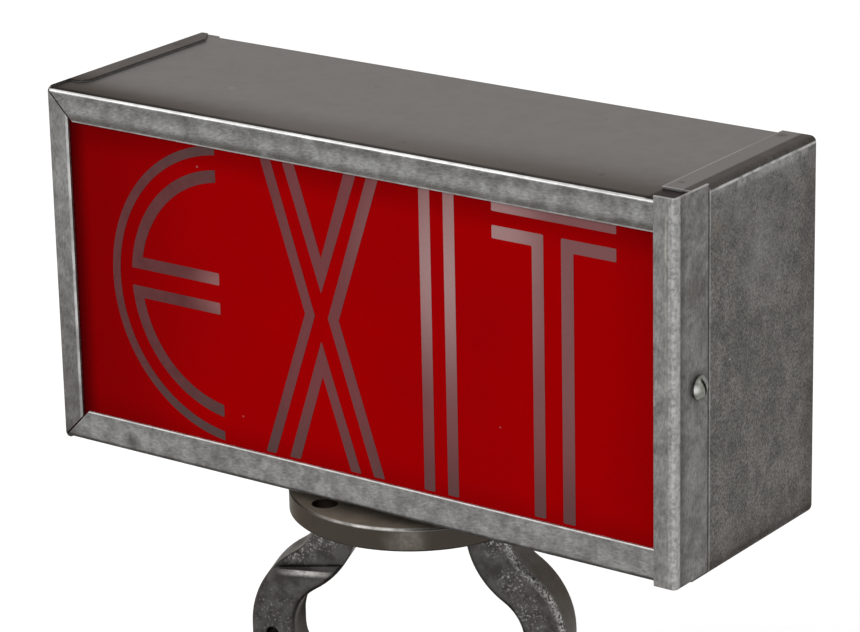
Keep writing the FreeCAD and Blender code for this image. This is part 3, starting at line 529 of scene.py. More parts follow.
@dataclass
class SheetHousing:
    """The folded sheets of the housing and what closes its right front corner."""

    place: HousingFrame
    shop: EffectShop
    tone: Colour = (0.262, 0.261, 0.256)
    shade: Colour = (0.172, 0.170, 0.165)
    top_tone: Colour = (0.158, 0.151, 0.146)
    brown: Colour = (0.040, 0.031, 0.025)
    # Near-black: painted shade behind the top's front fold, under the right flange's front end, along the lower fold,
    # around the screw head and in the retainer's back gap; also a few dark marks.
    soot_and_painted_shade: Colour = (0.014, 0.012, 0.011)
    # Pale steel: painted highlights on the sheets' folds and cut edges and on the screw head, with some real wear, and
    # a few pale spots.
    bare_and_painted_highlight: Colour = (0.78, 0.775, 0.76)
    glance: Colour = (0.66, 0.62, 0.60)
    top: float = 153.0
    lower_lip: float = 13.6
    upper_lip: float = 140.4
    wide: float = 306.6
    deep: float = 103.5

    def brushed(self, name: str, along: Axis, layers: tuple[Layer, ...]) -> Finish:
        """Returns a brushed, mottled grey.

        Args:
            name: The finish's name.
            along: The axis that the brushing runs along.
            layers: The tints over it.

        Returns:
            The finish.
        """
        stretch = tuple(420.0 if axis == along.value else 1150.0 for axis in range(3))
        turn = (0.0, 9.0, 0.0) if along is Axis.X else (0.0, -6.0, 0.0)
        return Finish(name, self.tone, self.shade, roughness=0.43, metallic=0.85, mottle_scale=125.0,
                      mottle_low=0.33, mottle_high=0.67, rough_patches=0.14, specular=0.0, glance=self.glance,
                      grain=Grain(turn=turn, stretch=stretch, contrast=0.85, bump=0.2), layers=layers)

    def shell_finish(self) -> Finish:
        """Returns the shell's finish: grey lips, and a smoother top that browns towards its front in painted dark
        reflection and shade, with painted highlights on its folds and edges.
        """
        place, top, upper = self.place, self.top, self.upper_lip
        on_top = place.ramp(Axis.Z, top - 0.5, top - 0.2)
        on_back = place.ramp(Axis.Y, 98.0, 100.5)
        on_front = place.ramp(Axis.Y, 8.0, 4.0)
        return self.brushed("shell_steel", Axis.X, (
            Layer(self.soot_and_painted_shade, 0.38, (on_front, place.ramp(Axis.Z, top - 7.0, top - 2.6),), patches=0.5, patch_scale=90.0),
            Layer(self.brown, 0.64, (on_front, place.ramp(Axis.Z, upper + 4.4, upper + 1.4), place.ramp(Axis.Z, upper - 3.0, upper)),
                  patches=0.3, patch_scale=60.0),
            Layer(self.brown, 0.14, (on_front, place.ramp(Axis.Z, 5.0, 1.0),), patches=0.4),
            Layer(self.brown, 0.22, (on_front, place.ramp(Axis.Z, self.lower_lip - 4.0, self.lower_lip - 0.6),
                                     place.ramp(Axis.Z, self.lower_lip + 2.0, self.lower_lip)), patches=0.6),
            Layer(self.top_tone, 0.89, (on_top, place.ramp(Axis.Y, 0.6, 1.8)), roughness=0.38),
            Layer(self.top_tone, 0.8, (on_back,), roughness=0.42),
            # Painted dark reflection and shade: the top browns and darkens towards its front fold, most strongly at
            # the left.
            Layer(self.brown, 0.52, (on_top, place.ramp(Axis.Y, 34.0, 3.0), place.ramp(Axis.Y, 0.6, 1.6))),
            Layer(self.brown, 0.38, (on_top, place.ramp(Axis.X, 120.0, 300.0), place.ramp(Axis.Y, 55.0, 4.0))),
            Layer(self.brown, 0.78, (on_top, place.ramp(Axis.Y, 22.0, 2.0), place.ramp(Axis.X, 150.0, 10.0),
                                     place.ramp(Axis.Y, 0.7, 1.2)), metallic=0.2),
            Layer(self.brown, 0.28, (on_top, place.ramp(Axis.Y, 22.0, 2.0), place.ramp(Axis.X, 160.0, 290.0),
                                     place.ramp(Axis.Y, 0.7, 1.2)), metallic=0.2),
            # Painted shade: a near-black band just behind the top's front fold.
            Layer(self.soot_and_painted_shade, 0.85, (on_top, place.ramp(Axis.Y, 4.6, 2.0), place.ramp(Axis.Y, 0.7, 1.2)),
                  patches=0.2, metallic=0.1),
            # Painted highlight along the top's front fold, dimmed towards the right.
            Layer(self.bare_and_painted_highlight, 0.85, (place.ramp(Axis.Z, top - 1.25, top - 0.75), place.ramp(Axis.Y, 1.15, 0.75)),
                  patches=0.25, patch_scale=160.0, roughness=0.4),
            Layer(self.shade, 0.45, (place.ramp(Axis.Z, top - 1.25, top - 0.75), place.ramp(Axis.Y, 1.15, 0.75),
                                     place.ramp(Axis.X, 215.0, 285.0))),
            # Painted shadow on the top, in front of the right flange's front end.
            Layer(self.soot_and_painted_shade, 0.85, (on_top, place.ramp(Axis.Y, 14.5, 12.5), place.ramp(Axis.X, 291.0, 293.0))),
            # Painted highlights: thin bright lines along the upper lip's lower edge and the lower lip's upper edge.
            Layer(self.bare_and_painted_highlight, 0.30, (on_front, place.ramp(Axis.Z, upper + 0.75, upper + 0.35), place.ramp(Axis.Z, upper - 1.0, upper)),
                  patches=0.5, patch_scale=120.0),
            Layer(self.bare_and_painted_highlight, 0.95, (on_front, place.ramp(Axis.Z, self.lower_lip - 0.8, self.lower_lip - 0.3),
                                    place.ramp(Axis.Z, self.lower_lip + 1.0, self.lower_lip + 0.2)),
                  patches=0.35, patch_scale=120.0),
            # Painted shade along the underside of the lower front fold.
            Layer(self.soot_and_painted_shade, 0.75, (on_front, place.ramp(Axis.Z, 2.3, 1.4)), patches=0.2),
            Layer(self.soot_and_painted_shade, 0.60, (), place.spot(3, 0, 2, 9)),
            Layer(self.soot_and_painted_shade, 0.60, (), place.spot(38, 0, 4, 6)),
            Layer(self.brown, 0.45, (), place.spot(83, 0, 6, 8), patches=0.4),
            Layer(self.brown, 0.55, (on_top,), place.spot(262.7, 17, top, 2.4)),
            Layer(self.brown, 0.45, (on_top,), place.spot(115.7, 73, top, 1.6)),
            Layer(self.brown, 0.35, (on_top,), place.spot(232, 90, top, 1.4)),
            Layer(self.brown, 0.30, (on_top,), place.spot(222, 82, top, 1.2)),
            Layer(self.brown, 0.40, (on_top,), place.spot(172.7, 13, top, 2.6)),
            Layer(self.brown, 0.30, (on_top,), place.spot(65.7, 13, top, 2.0)),
            Layer(self.bare_and_painted_highlight, 0.12, (on_top,), place.spot(66, 40, top, 2.0)),
        ))

    def left_cap_finish(self) -> Finish:
        """Returns the left cap's finish: brighter high up, and dark towards its foot."""
        place = self.place
        on_top = place.ramp(Axis.Z, self.top + 0.4, self.top + 0.7)
        return self.brushed("left_cap_steel", Axis.Z, (
            Layer(self.brown, 0.62, (place.ramp(Axis.Z, 105.0, 6.0),), patches=0.3),
            Layer(self.brown, 0.10),
            # Painted highlight along the left lip's inner edge.
            Layer(self.bare_and_painted_highlight, 0.50, (place.ramp(Axis.X, 9.3, 9.9), place.ramp(Axis.Y, 2.0, 0.5)), patches=0.6,
                  patch_scale=60.0),
            Layer(self.soot_and_painted_shade, 0.50, (), place.spot(2, 0, 1, 9)),
            Layer(self.top_tone, 0.9, (on_top,), roughness=0.4),
            Layer(self.brown, 0.66, (on_top,), patches=0.15, patch_scale=50.0, metallic=0.6),
            # Painted dark reflection and shade: the flange's top browns towards its front, as the shell's top does.
            Layer(self.brown, 0.7, (on_top, place.ramp(Axis.Y, 30.0, 12.0)), metallic=0.2),
            # Painted highlights: the flange's front end, the outer top fold and the front corner fold.
            Layer(self.bare_and_painted_highlight, 0.6, (on_top,), place.spot(8.3, 13.4, self.top + 1.1, 1.7)),
            Layer(self.bare_and_painted_highlight, 0.55, (place.ramp(Axis.X, 1.6, 0.6), place.ramp(Axis.Z, self.top - 0.6, self.top + 0.2)),
                  patches=0.4, patch_scale=150.0),
            Layer(self.bare_and_painted_highlight, 0.35, (place.ramp(Axis.X, 1.3, 0.5), place.ramp(Axis.Y, 1.4, 0.5)),
                  patches=0.6, patch_scale=90.0),
            Layer(self.brown, 0.6, (on_top,), place.spot(5.0, 79, self.top + 1.1, 2.6)),
        ))

    def right_cap_finish(self) -> Finish:
        """Returns the right cap's finish: mottled grey, with a brown fold in painted dark reflection and a bright edge
        above in painted highlight with some wear.
        """
        place, top, wide, deep = self.place, self.top, self.wide, self.deep
        on_top = place.ramp(Axis.Z, top + 0.5, top + 0.8)
        return Finish(
            "right_cap_steel", (0.158, 0.154, 0.146), (0.108, 0.105, 0.099), roughness=0.46, metallic=0.8,
            mottle_scale=105.0, mottle_low=0.3, mottle_high=0.7, rough_patches=0.12, specular=0.0,
            glance=self.glance,
            grain=Grain(turn=(38.0, 0.0, 0.0), stretch=(1050.0, 1050.0, 1000.0), contrast=1.7, bump=0.3),
            layers=(
                Layer(self.tone, 0.30, (place.ramp(Axis.Z, 126.0, 150.0),), patches=0.8, patch_scale=60.0),
                Layer(self.tone, 0.28, (), place.spot(wide, 62, 118, 34), patches=0.8, patch_scale=90.0),
                Layer(self.brown, 0.35, (place.ramp(Axis.Y, deep - 14.0, deep - 3.0),), patches=0.5),
                Layer(self.soot_and_painted_shade, 0.45, (place.ramp(Axis.Y, deep - 2.6, deep - 1.6), place.ramp(Axis.Y, deep, deep - 0.9))),
                Layer(self.brown, 0.40, (place.ramp(Axis.Z, 18.0, 0.0),), patches=0.4),
                Layer(self.soot_and_painted_shade, 0.45, (place.ramp(Axis.Z, 2.6, 0.2),), patches=0.3),
                Layer(self.top_tone, 0.92, (on_top,), roughness=0.4),
                # Painted dark reflection: a brown band on the outer top fold.
                Layer(self.brown, 0.68, (place.ramp(Axis.Z, top - 1.1, top - 0.6), place.ramp(Axis.X, wide - 6.6, wide - 5.4)),
                      patches=0.15, metallic=0.2),
                # Painted highlight with some wear: a bright line at the foot of the top fold, and a fainter band below
                # it.
                Layer(self.bare_and_painted_highlight, 0.50, (place.ramp(Axis.Z, top - 2.1, top - 1.7), place.ramp(Axis.Z, top - 0.7, top - 1.1)),
                      patches=0.7, patch_scale=130.0, roughness=0.4),
                Layer(self.bare_and_painted_highlight, 0.20, (place.ramp(Axis.Z, top - 6.0, top - 3.0), place.ramp(Axis.Z, top - 1.0, top - 2.0)),
                      patches=0.9, patch_scale=150.0),
                # Painted highlights on the sheet's cut edges: the panel's front edge, the flange's front end and its
                # inner edge.
                Layer(self.bare_and_painted_highlight, 0.22, (place.ramp(Axis.Y, 24.3, 23.3), place.ramp(Axis.X, wide - 0.5, wide - 0.2)),
                      patches=0.4, patch_scale=120.0),
                Layer(self.bare_and_painted_highlight, 0.4, (on_top, place.ramp(Axis.Y, 14.1, 13.6)), patches=0.3),
                Layer(self.bare_and_painted_highlight, 0.30, (on_top, place.ramp(Axis.X, wide - 14.3, wide - 14.7)), patches=0.5,
                      patch_scale=40.0),
                Layer(self.brown, 0.5, (on_top,), place.spot(295.2, 21.5, top + 1.1, 2.4)),
                Layer(self.soot_and_painted_shade, 0.5, (on_top,), place.spot(295.2, 95.0, top + 1.1, 3.6)),
                Layer((0.22, 0.17, 0.13), 0.4, (), place.spot(wide, 29, 136, 3.6)),
                Layer(self.bare_and_painted_highlight, 0.5, (), place.spot(wide, 38, 81, 0.7)),
            ))

    def retainer_finish(self) -> Finish:
        """Returns the retainer's finish: brushed upright, bright at the fold in painted highlight and darker behind
        it, with painted shadow around the screw head and at its back edge.
        """
        place, wide = self.place, self.wide
        on_side = place.ramp(Axis.Y, 1.6, 2.8)
        screw = sum(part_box("retainer_screw"), Vector()) / 2
        screw.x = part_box("glass_retainer")[1].x
        return self.brushed("retainer_steel", Axis.Z, (
            Layer((0.095, 0.092, 0.085), 0.32, (on_side,), patches=0.15, patch_scale=500.0),
            Layer(self.soot_and_painted_shade, 0.26, (on_side,), patches=1.0, patch_scale=750.0, patch_low=0.46),
            Layer(self.soot_and_painted_shade, 0.50, (on_side, place.ramp(Axis.Y, 8.0, 2.6)), patches=0.3),
            # Painted shadow with some dark patina: a dark ring in the dimple around the screw head.
            Layer(self.soot_and_painted_shade, 1.0, (on_side,), Spot((screw.x, screw.y - 0.0015, screw.z + 0.0006), 0.0092), metallic=0.1),
            Layer(self.brown, 0.50, (on_side,), place.spot(wide, 13, 116, 12), patches=0.4),
            Layer(self.brown, 0.10, (place.ramp(Axis.Y, 0.0, -0.6),)),
            # Painted highlights: a yellowish bright band beside the front fold, and bright lines on the fold itself.
            Layer((0.75, 0.72, 0.55), 0.34, (place.ramp(Axis.X, wide - 4.9, wide - 4.4), place.ramp(Axis.X, wide - 3.6, wide - 4.1),
                                             place.ramp(Axis.Z, 60.0, 110.0)), patches=0.9, patch_scale=90.0, patch_low=0.45),
            Layer(self.bare_and_painted_highlight, 0.22, (place.ramp(Axis.X, wide - 3.5, wide - 2.8), place.ramp(Axis.Y, 0.0, -0.6)),
                  patches=0.8, patch_scale=480.0),
            Layer(self.bare_and_painted_highlight, 0.24, (place.ramp(Axis.X, wide - 2.0, wide - 1.2), place.ramp(Axis.Y, 3.0, 2.0)),
                  patches=0.6, patch_scale=480.0, roughness=0.38),
            # Painted shadow in the gap between the retainer and the end panel's front edge.
            Layer(self.soot_and_painted_shade, 0.60, (place.ramp(Axis.Y, 21.5, 22.1),)),
            # Painted highlight along the retainer's top edge.
            Layer(self.bare_and_painted_highlight, 0.3, (place.ramp(Axis.Z, self.top + 1.5, self.top + 1.9),), patches=0.5),
        ))

    def screw_finish(self, name: str, layers: tuple[Layer, ...] = ()) -> Finish:
        """Returns a dull plated finish for screws and nuts.

        Args:
            name: The finish's name.
            layers: The tints over it.

        Returns:
            The finish.
        """
        return Finish(name, (0.22, 0.225, 0.20), (0.14, 0.14, 0.12), roughness=0.36, metallic=0.9,
                      mottle_scale=420.0, layers=layers,
                      grain=Grain(stretch=(900.0, 900.0, 900.0), contrast=0.35, bump=0.2))

    def dress(self) -> None:
        """Dresses the sheets, the screw and its nut."""
        dress("housing_shell", self.shell_finish().material(self.shop))
        dress("left_end_cap", self.left_cap_finish().material(self.shop))
        dress("right_end_cap", self.right_cap_finish().material(self.shop))
        dress("glass_retainer", self.retainer_finish().material(self.shop))
        low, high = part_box("retainer_screw")
        # Painted highlight: a bright crescent on the screw head's left flank.
        painted_head_highlight = Layer(self.bare_and_painted_highlight, 0.95, (), Spot((high.x - 0.0012, low.y, (low.z + high.z) / 2 + 0.0004), 0.0029))
        dress("retainer_screw", self.screw_finish("screw_painted_highlight", (painted_head_highlight,)).material(self.shop))
        plated = self.screw_finish("plated_steel").material(self.shop)
        for name in ("retainer_nut", "lampholder_screws"):
            dress(name, plated)


@dataclass(frozen=True)
class Stroke:
    """A band of a letter, as the two ends of each of its cross lines, (x, z) in millimetres."""

    lines: tuple[tuple[tuple[float, float], tuple[float, float]], ...]


@dataclass
class ExitWord:
    """The word EXIT in double lines on the front of the glass."""

    place: HousingFrame
    shop: EffectShop
    low: float = 14.8
    high: float = 141.4
    middle: float = 78.1
    thickness: float = 0.1
    corner: float = 0.5
    band: float = 5.2
    bowl_centre: float = 94.5
    bowl_cut: float = 87.2
    bowl_outer: tuple[float, float] = (59.6, 63.6)
    bowl_inner: tuple[float, float] = (48.2, 53.4)
    bar_places: tuple[tuple[float, float], ...] = ((82.1, 87.3), (69.6, 74.6))
    arc_steps: int = 72

    def ring(self, mesh: bmesh.types.BMesh, radii: tuple[float, float], cuts: Iterable[tuple[Place, Place]]) -> None:
        """Spins one band of the E's bowl and cuts it.

        Args:
            mesh: The letter's mesh, flat in the glass's plane, in millimetres.
            radii: The band's inner and outer radius.
            cuts: A point and a direction of each cut; what lies beyond is cleared.
        """
        centre = Vector((self.bowl_centre, 0.0, self.middle))
        turn = Matrix.Rotation(math.radians(-80.0), 3, "Y")
        ends = [mesh.verts.new(centre + turn @ Vector((radius, 0.0, 0.0))) for radius in radii]
        edge = mesh.edges.new(ends)
        spun = bmesh.ops.spin(mesh, geom=[*ends, edge], cent=centre, axis=(0.0, 1.0, 0.0),
                              angle=math.radians(-200.0), steps=self.arc_steps)
        last = [item for item in spun["geom_last"] if isinstance(item, bmesh.types.BMVert)]
        faces = self.island(last)
        self.cut(mesh, faces, cuts)

    @staticmethod
    def island(seeds: Sequence[bmesh.types.BMVert]) -> list[bmesh.types.BMFace]:
        """Returns the faces joined to some vertices."""
        seen: set[bmesh.types.BMFace] = set()
        queue = [face for vert in seeds for face in vert.link_faces]
        while queue:
            face = queue.pop()
            if face in seen:
                continue
            seen.add(face)
            queue.extend(other for edge in face.edges for other in edge.link_faces if other not in seen)
        return list(seen)

    @staticmethod
    def cut(mesh: bmesh.types.BMesh, faces: Sequence[bmesh.types.BMFace],
            cuts: Iterable[tuple[Place, Place]]) -> None:
        """Cuts faces by planes and clears what lies beyond each.

        Args:
            mesh: The letter's mesh.
            faces: The faces to cut.
            cuts: A point and a direction of each plane.
        """
        for spot, away in cuts:
            geometry = set(faces)
            for face in faces:
                geometry.update(face.edges)
                geometry.update(face.verts)
            result = bmesh.ops.bisect_plane(mesh, geom=list(geometry), plane_co=spot, plane_no=away,
                                            clear_outer=True)
            faces = [item for item in result["geom"] if isinstance(item, bmesh.types.BMFace) and item.is_valid]

    def bowl_bar(self, mesh: bmesh.types.BMesh, low: float, high: float) -> None:
        """Cuts one middle bar of the E from a disc, so that its root follows the bowl.

        Args:
            mesh: The letter's mesh.
            low: The bar's lower edge.
            high: The bar's upper edge.
        """
        place = Matrix.Translation((self.bowl_centre, 0.0, self.middle)) @ Matrix.Rotation(math.radians(90.0), 4, "X")
        disc = bmesh.ops.create_circle(mesh, cap_ends=True, segments=self.arc_steps * 2,
                                       radius=self.bowl_inner[1], matrix=place)
        faces = self.island(disc["verts"])
        self.cut(mesh, faces, [((0.0, 0.0, low), (0.0, 0.0, -1.0)), ((0.0, 0.0, high), (0.0, 0.0, 1.0)),
                               ((self.bowl_cut, 0.0, 0.0), (1.0, 0.0, 0.0))])

    def letter_e(self, mesh: bmesh.types.BMesh) -> None:
        """Draws the round E: two nested bands and two middle bars."""
        side = ((self.bowl_cut, 0.0, 0.0), (1.0, 0.0, 0.0))
        (upper_low, upper_high), (lower_low, lower_high) = self.bar_places
        self.ring(mesh, self.bowl_outer, [side])
        self.ring(mesh, self.bowl_inner, [side, ((0.0, 0.0, upper_high), (0.0, 0.0, -1.0))])
        self.ring(mesh, self.bowl_inner, [side, ((0.0, 0.0, lower_low), (0.0, 0.0, 1.0))])
        self.bowl_bar(mesh, upper_low, upper_high)
        self.bowl_bar(mesh, lower_low, lower_high)

    def strokes(self, mesh: bmesh.types.BMesh, strokes: Sequence[Stroke]) -> None:
        """Draws straight bands by extruding each cross line to the next.

        Args:
            mesh: The letter's mesh.
            strokes: The bands.
        """
        for stroke in strokes:
            ends = [mesh.verts.new((x, 0.0, z)) for x, z in stroke.lines[0]]
            edge = mesh.edges.new(ends)
            for line in stroke.lines[1:]:
                grown = bmesh.ops.extrude_edge_only(mesh, edges=[edge])["geom"]
                fresh = {item for item in grown if isinstance(item, bmesh.types.BMVert)}
                partners = [next(link.other_vert(vert) for link in vert.link_edges
                                 if link.other_vert(vert) in fresh) for vert in ends]
                for vert, (x, z) in zip(partners, line):
                    vert.co = (x, 0.0, z)
                ends = partners
                edge = next(item for item in grown if isinstance(item, bmesh.types.BMEdge)
                            and set(item.verts) == set(ends))

    def letter_x(self, mesh: bmesh.types.BMesh) -> None:
        """Draws the X: two chevrons back to back, with a V above and one below."""
        low, high, middle = self.low, self.high, self.middle
        self.strokes(mesh, [
            Stroke((((109.9, high), (115.1, high)), ((130.8, middle), (135.7, middle)), ((108.7, low), (113.7, low)))),
            Stroke((((163.5, high), (169.2, high)), ((142.2, middle), (147.6, middle)), ((163.2, low), (168.6, low)))),
            Stroke((((121.0, high), (126.9, high)), ((139.2, 88.0), (139.6, 102.8)), ((158.4, high), (152.5, high)))),
            Stroke((((120.8, low), (126.1, low)), ((138.6, 67.8), (138.8, 52.8)), ((156.8, low), (151.8, low)))),
        ])

    def letter_i(self, mesh: bmesh.types.BMesh) -> None:
        """Draws the I: two upright bars."""
        self.strokes(mesh, [
            Stroke((((left, self.high), (left + self.band, self.high)), ((left, self.low), (left + self.band, self.low))))
            for left in (188.1, 199.6)])

    def letter_t(self, mesh: bmesh.types.BMesh) -> None:
        """Draws the T: a bar along the top and two bent bars below it."""
        self.strokes(mesh, [
            Stroke((((222.4, 136.4), (222.4, 141.3)), ((279.2, 136.4), (279.2, 141.3)))),
            Stroke((((222.4, 130.7), (222.4, 125.4)), ((246.2, 130.7), (240.9, 125.4)),
                    ((246.2, self.low), (240.9, self.low)))),
            Stroke((((279.2, 130.7), (279.2, 125.4)), ((254.3, 130.7), (259.9, 125.4)),
                    ((254.3, self.low), (259.9, self.low)))),
        ])

    def round_corners(self, mesh: bmesh.types.BMesh) -> None:
        """Rounds the sharp corners of a flat letter's outline."""
        sharp = []
        for vert in mesh.verts:
            rim = [edge for edge in vert.link_edges if edge.is_boundary]
            if len(rim) != 2:
                continue
            first, second = ((edge.other_vert(vert).co - vert.co).normalized() for edge in rim)
            if math.degrees(first.angle(second)) < 140.0:
                sharp.append(vert)
        bmesh.ops.bevel(mesh, geom=sharp, offset=self.corner, offset_type="OFFSET", affect="VERTICES",
                        segments=3, profile=0.5, material=-1)

    def build_letter(self, name: str, draw: object, material: bpy.types.Material) -> None:
        """Builds one letter on the glass.

        Args:
            name: The piece's name.
            draw: The method that draws the letter flat.
            material: Its finish.
        """
        mesh = bmesh.new()
        draw(mesh)
        bmesh.ops.remove_doubles(mesh, verts=mesh.verts, dist=0.02)
        self.round_corners(mesh)
        grown = bmesh.ops.extrude_face_region(mesh, geom=mesh.faces[:])
        lifted = [item for item in grown["geom"] if isinstance(item, bmesh.types.BMVert)]
        bmesh.ops.translate(mesh, verts=lifted, vec=(0.0, -self.thickness, 0.0))
        bmesh.ops.scale(mesh, verts=mesh.verts, vec=(MM, MM, MM))
        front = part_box("exit_glass")[0].y
        bmesh.ops.translate(mesh, verts=mesh.verts, vec=(self.place.corner.x, front, self.place.corner.z))
        bmesh.ops.recalc_face_normals(mesh, faces=mesh.faces)
        data = bpy.data.meshes.new(name)
        mesh.to_mesh(data)
        mesh.free()
        data.materials.append(material)
        piece = bpy.data.objects.new(name, data)
        bpy.context.scene.collection.objects.link(piece)
        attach(piece, BODY)
        LOG.info("built %s with %d faces", name, len(data.polygons))

    def finish(self) -> Finish:
        """Returns the letters' matt taupe, palest high on the I and at the bars' ends of the E in painted highlights.
        """
        place = self.place
        pale = (0.44, 0.265, 0.26)
        dark = (0.078, 0.046, 0.044)
        return Finish(
            "etched_letters", (0.132, 0.034, 0.036), (0.112, 0.028, 0.030), roughness=0.6, specular=0.15,
            mottle_scale=160.0, grain=Grain(stretch=(2600.0, 2600.0, 2600.0), contrast=0.12, bump=0.02),
            layers=(
                Layer((0.185, 0.048, 0.052), 1.0, (place.ramp(Axis.X, 100.0, 130.0),)),
                Layer((0.235, 0.092, 0.094), 1.0, (place.ramp(Axis.X, 172.0, 200.0), place.ramp(Axis.Z, 5.0, 75.0))),
                Layer(dark, 0.55, (place.ramp(Axis.Z, 45.0, 12.0),)),
                Layer(dark, 0.60, (place.ramp(Axis.Z, 45.0, 12.0), place.ramp(Axis.X, 150.0, 90.0))),
                # Painted highlights: pale spots high on the I and T and at the E's bar ends.
                Layer(pale, 1.0, (), place.spot(204, 1, 108, 60)),
                Layer(pale, 0.8, (), place.spot(224, 1, 128, 30)),
                Layer((0.34, 0.145, 0.14), 1.0, (), place.spot(91, 1, 80, 24)),
                Layer(dark, 0.6, (place.ramp(Axis.X, 110.0, 80.0), place.ramp(Axis.Z, 118.0, 138.0))),
            ))

    def build(self) -> None:
        """Builds the four letters."""
        material = self.finish().material(self.shop)
        for name, draw in (("letter_e", self.letter_e), ("letter_x", self.letter_x),
                           ("letter_i", self.letter_i), ("letter_t", self.letter_t)):
            self.build_letter(name, draw, material)


@dataclass
class RubyGlass:
    """The pane and the guides behind it."""

    place: HousingFrame
    shop: EffectShop
    red: Colour = (0.43, 0.0004, 0.0012)
    deep: Colour = (0.075, 0.0006, 0.0012)

    def finish(self) -> GlassFinish:
        """Returns the pane's deep red, darker beside the lips in painted shadow and reflection of the lips."""
        place = self.place
        return GlassFinish(
            "ruby_glass", self.red, (0.395, 0.0006, 0.0020), roughness=0.12, specular=0.0, rough_patches=0.02,
            mottle_scale=14.0, layers=(
                # Painted shadow and reflection of the lips and the retainer: the red darkens beside them.
                Layer(self.deep, 0.9, (place.ramp(Axis.X, 21.0, 11.5),)),
                Layer(self.deep, 0.38, (place.ramp(Axis.X, 95.0, 16.0),)),
                Layer(self.deep, 0.35, (place.ramp(Axis.Z, 126.0, 139.0),)),
                Layer(self.deep, 0.25, (place.ramp(Axis.Z, 26.0, 12.0),)),
                Layer(self.deep, 0.15, (place.ramp(Axis.X, 270.0, 294.0),)),
                Layer((0.5, 0.3, 0.28), 0.5, (), place.spot(78, 1.15, 131, 0.7)),
                Layer((0.5, 0.3, 0.28), 0.4, (), place.spot(225, 1.15, 48.5, 0.6)),
                Layer((0.5, 0.3, 0.28), 0.5, (), place.spot(97, 1.15, 27.5, 0.6)),
            ))

    def dress(self) -> None:
        """Dresses the pane and its guides."""
        dress("exit_glass", self.finish().material(self.shop))
        inner = Finish("inner_steel", (0.36, 0.36, 0.35), (0.24, 0.235, 0.225), roughness=0.4, metallic=0.9,
                       grain=Grain(stretch=(60.0, 1500.0, 1500.0), contrast=0.2)).material(self.shop)
        for name in ("lower_glass_guide", "upper_glass_guide", "lamp_bracket"):
            dress(name, inner)


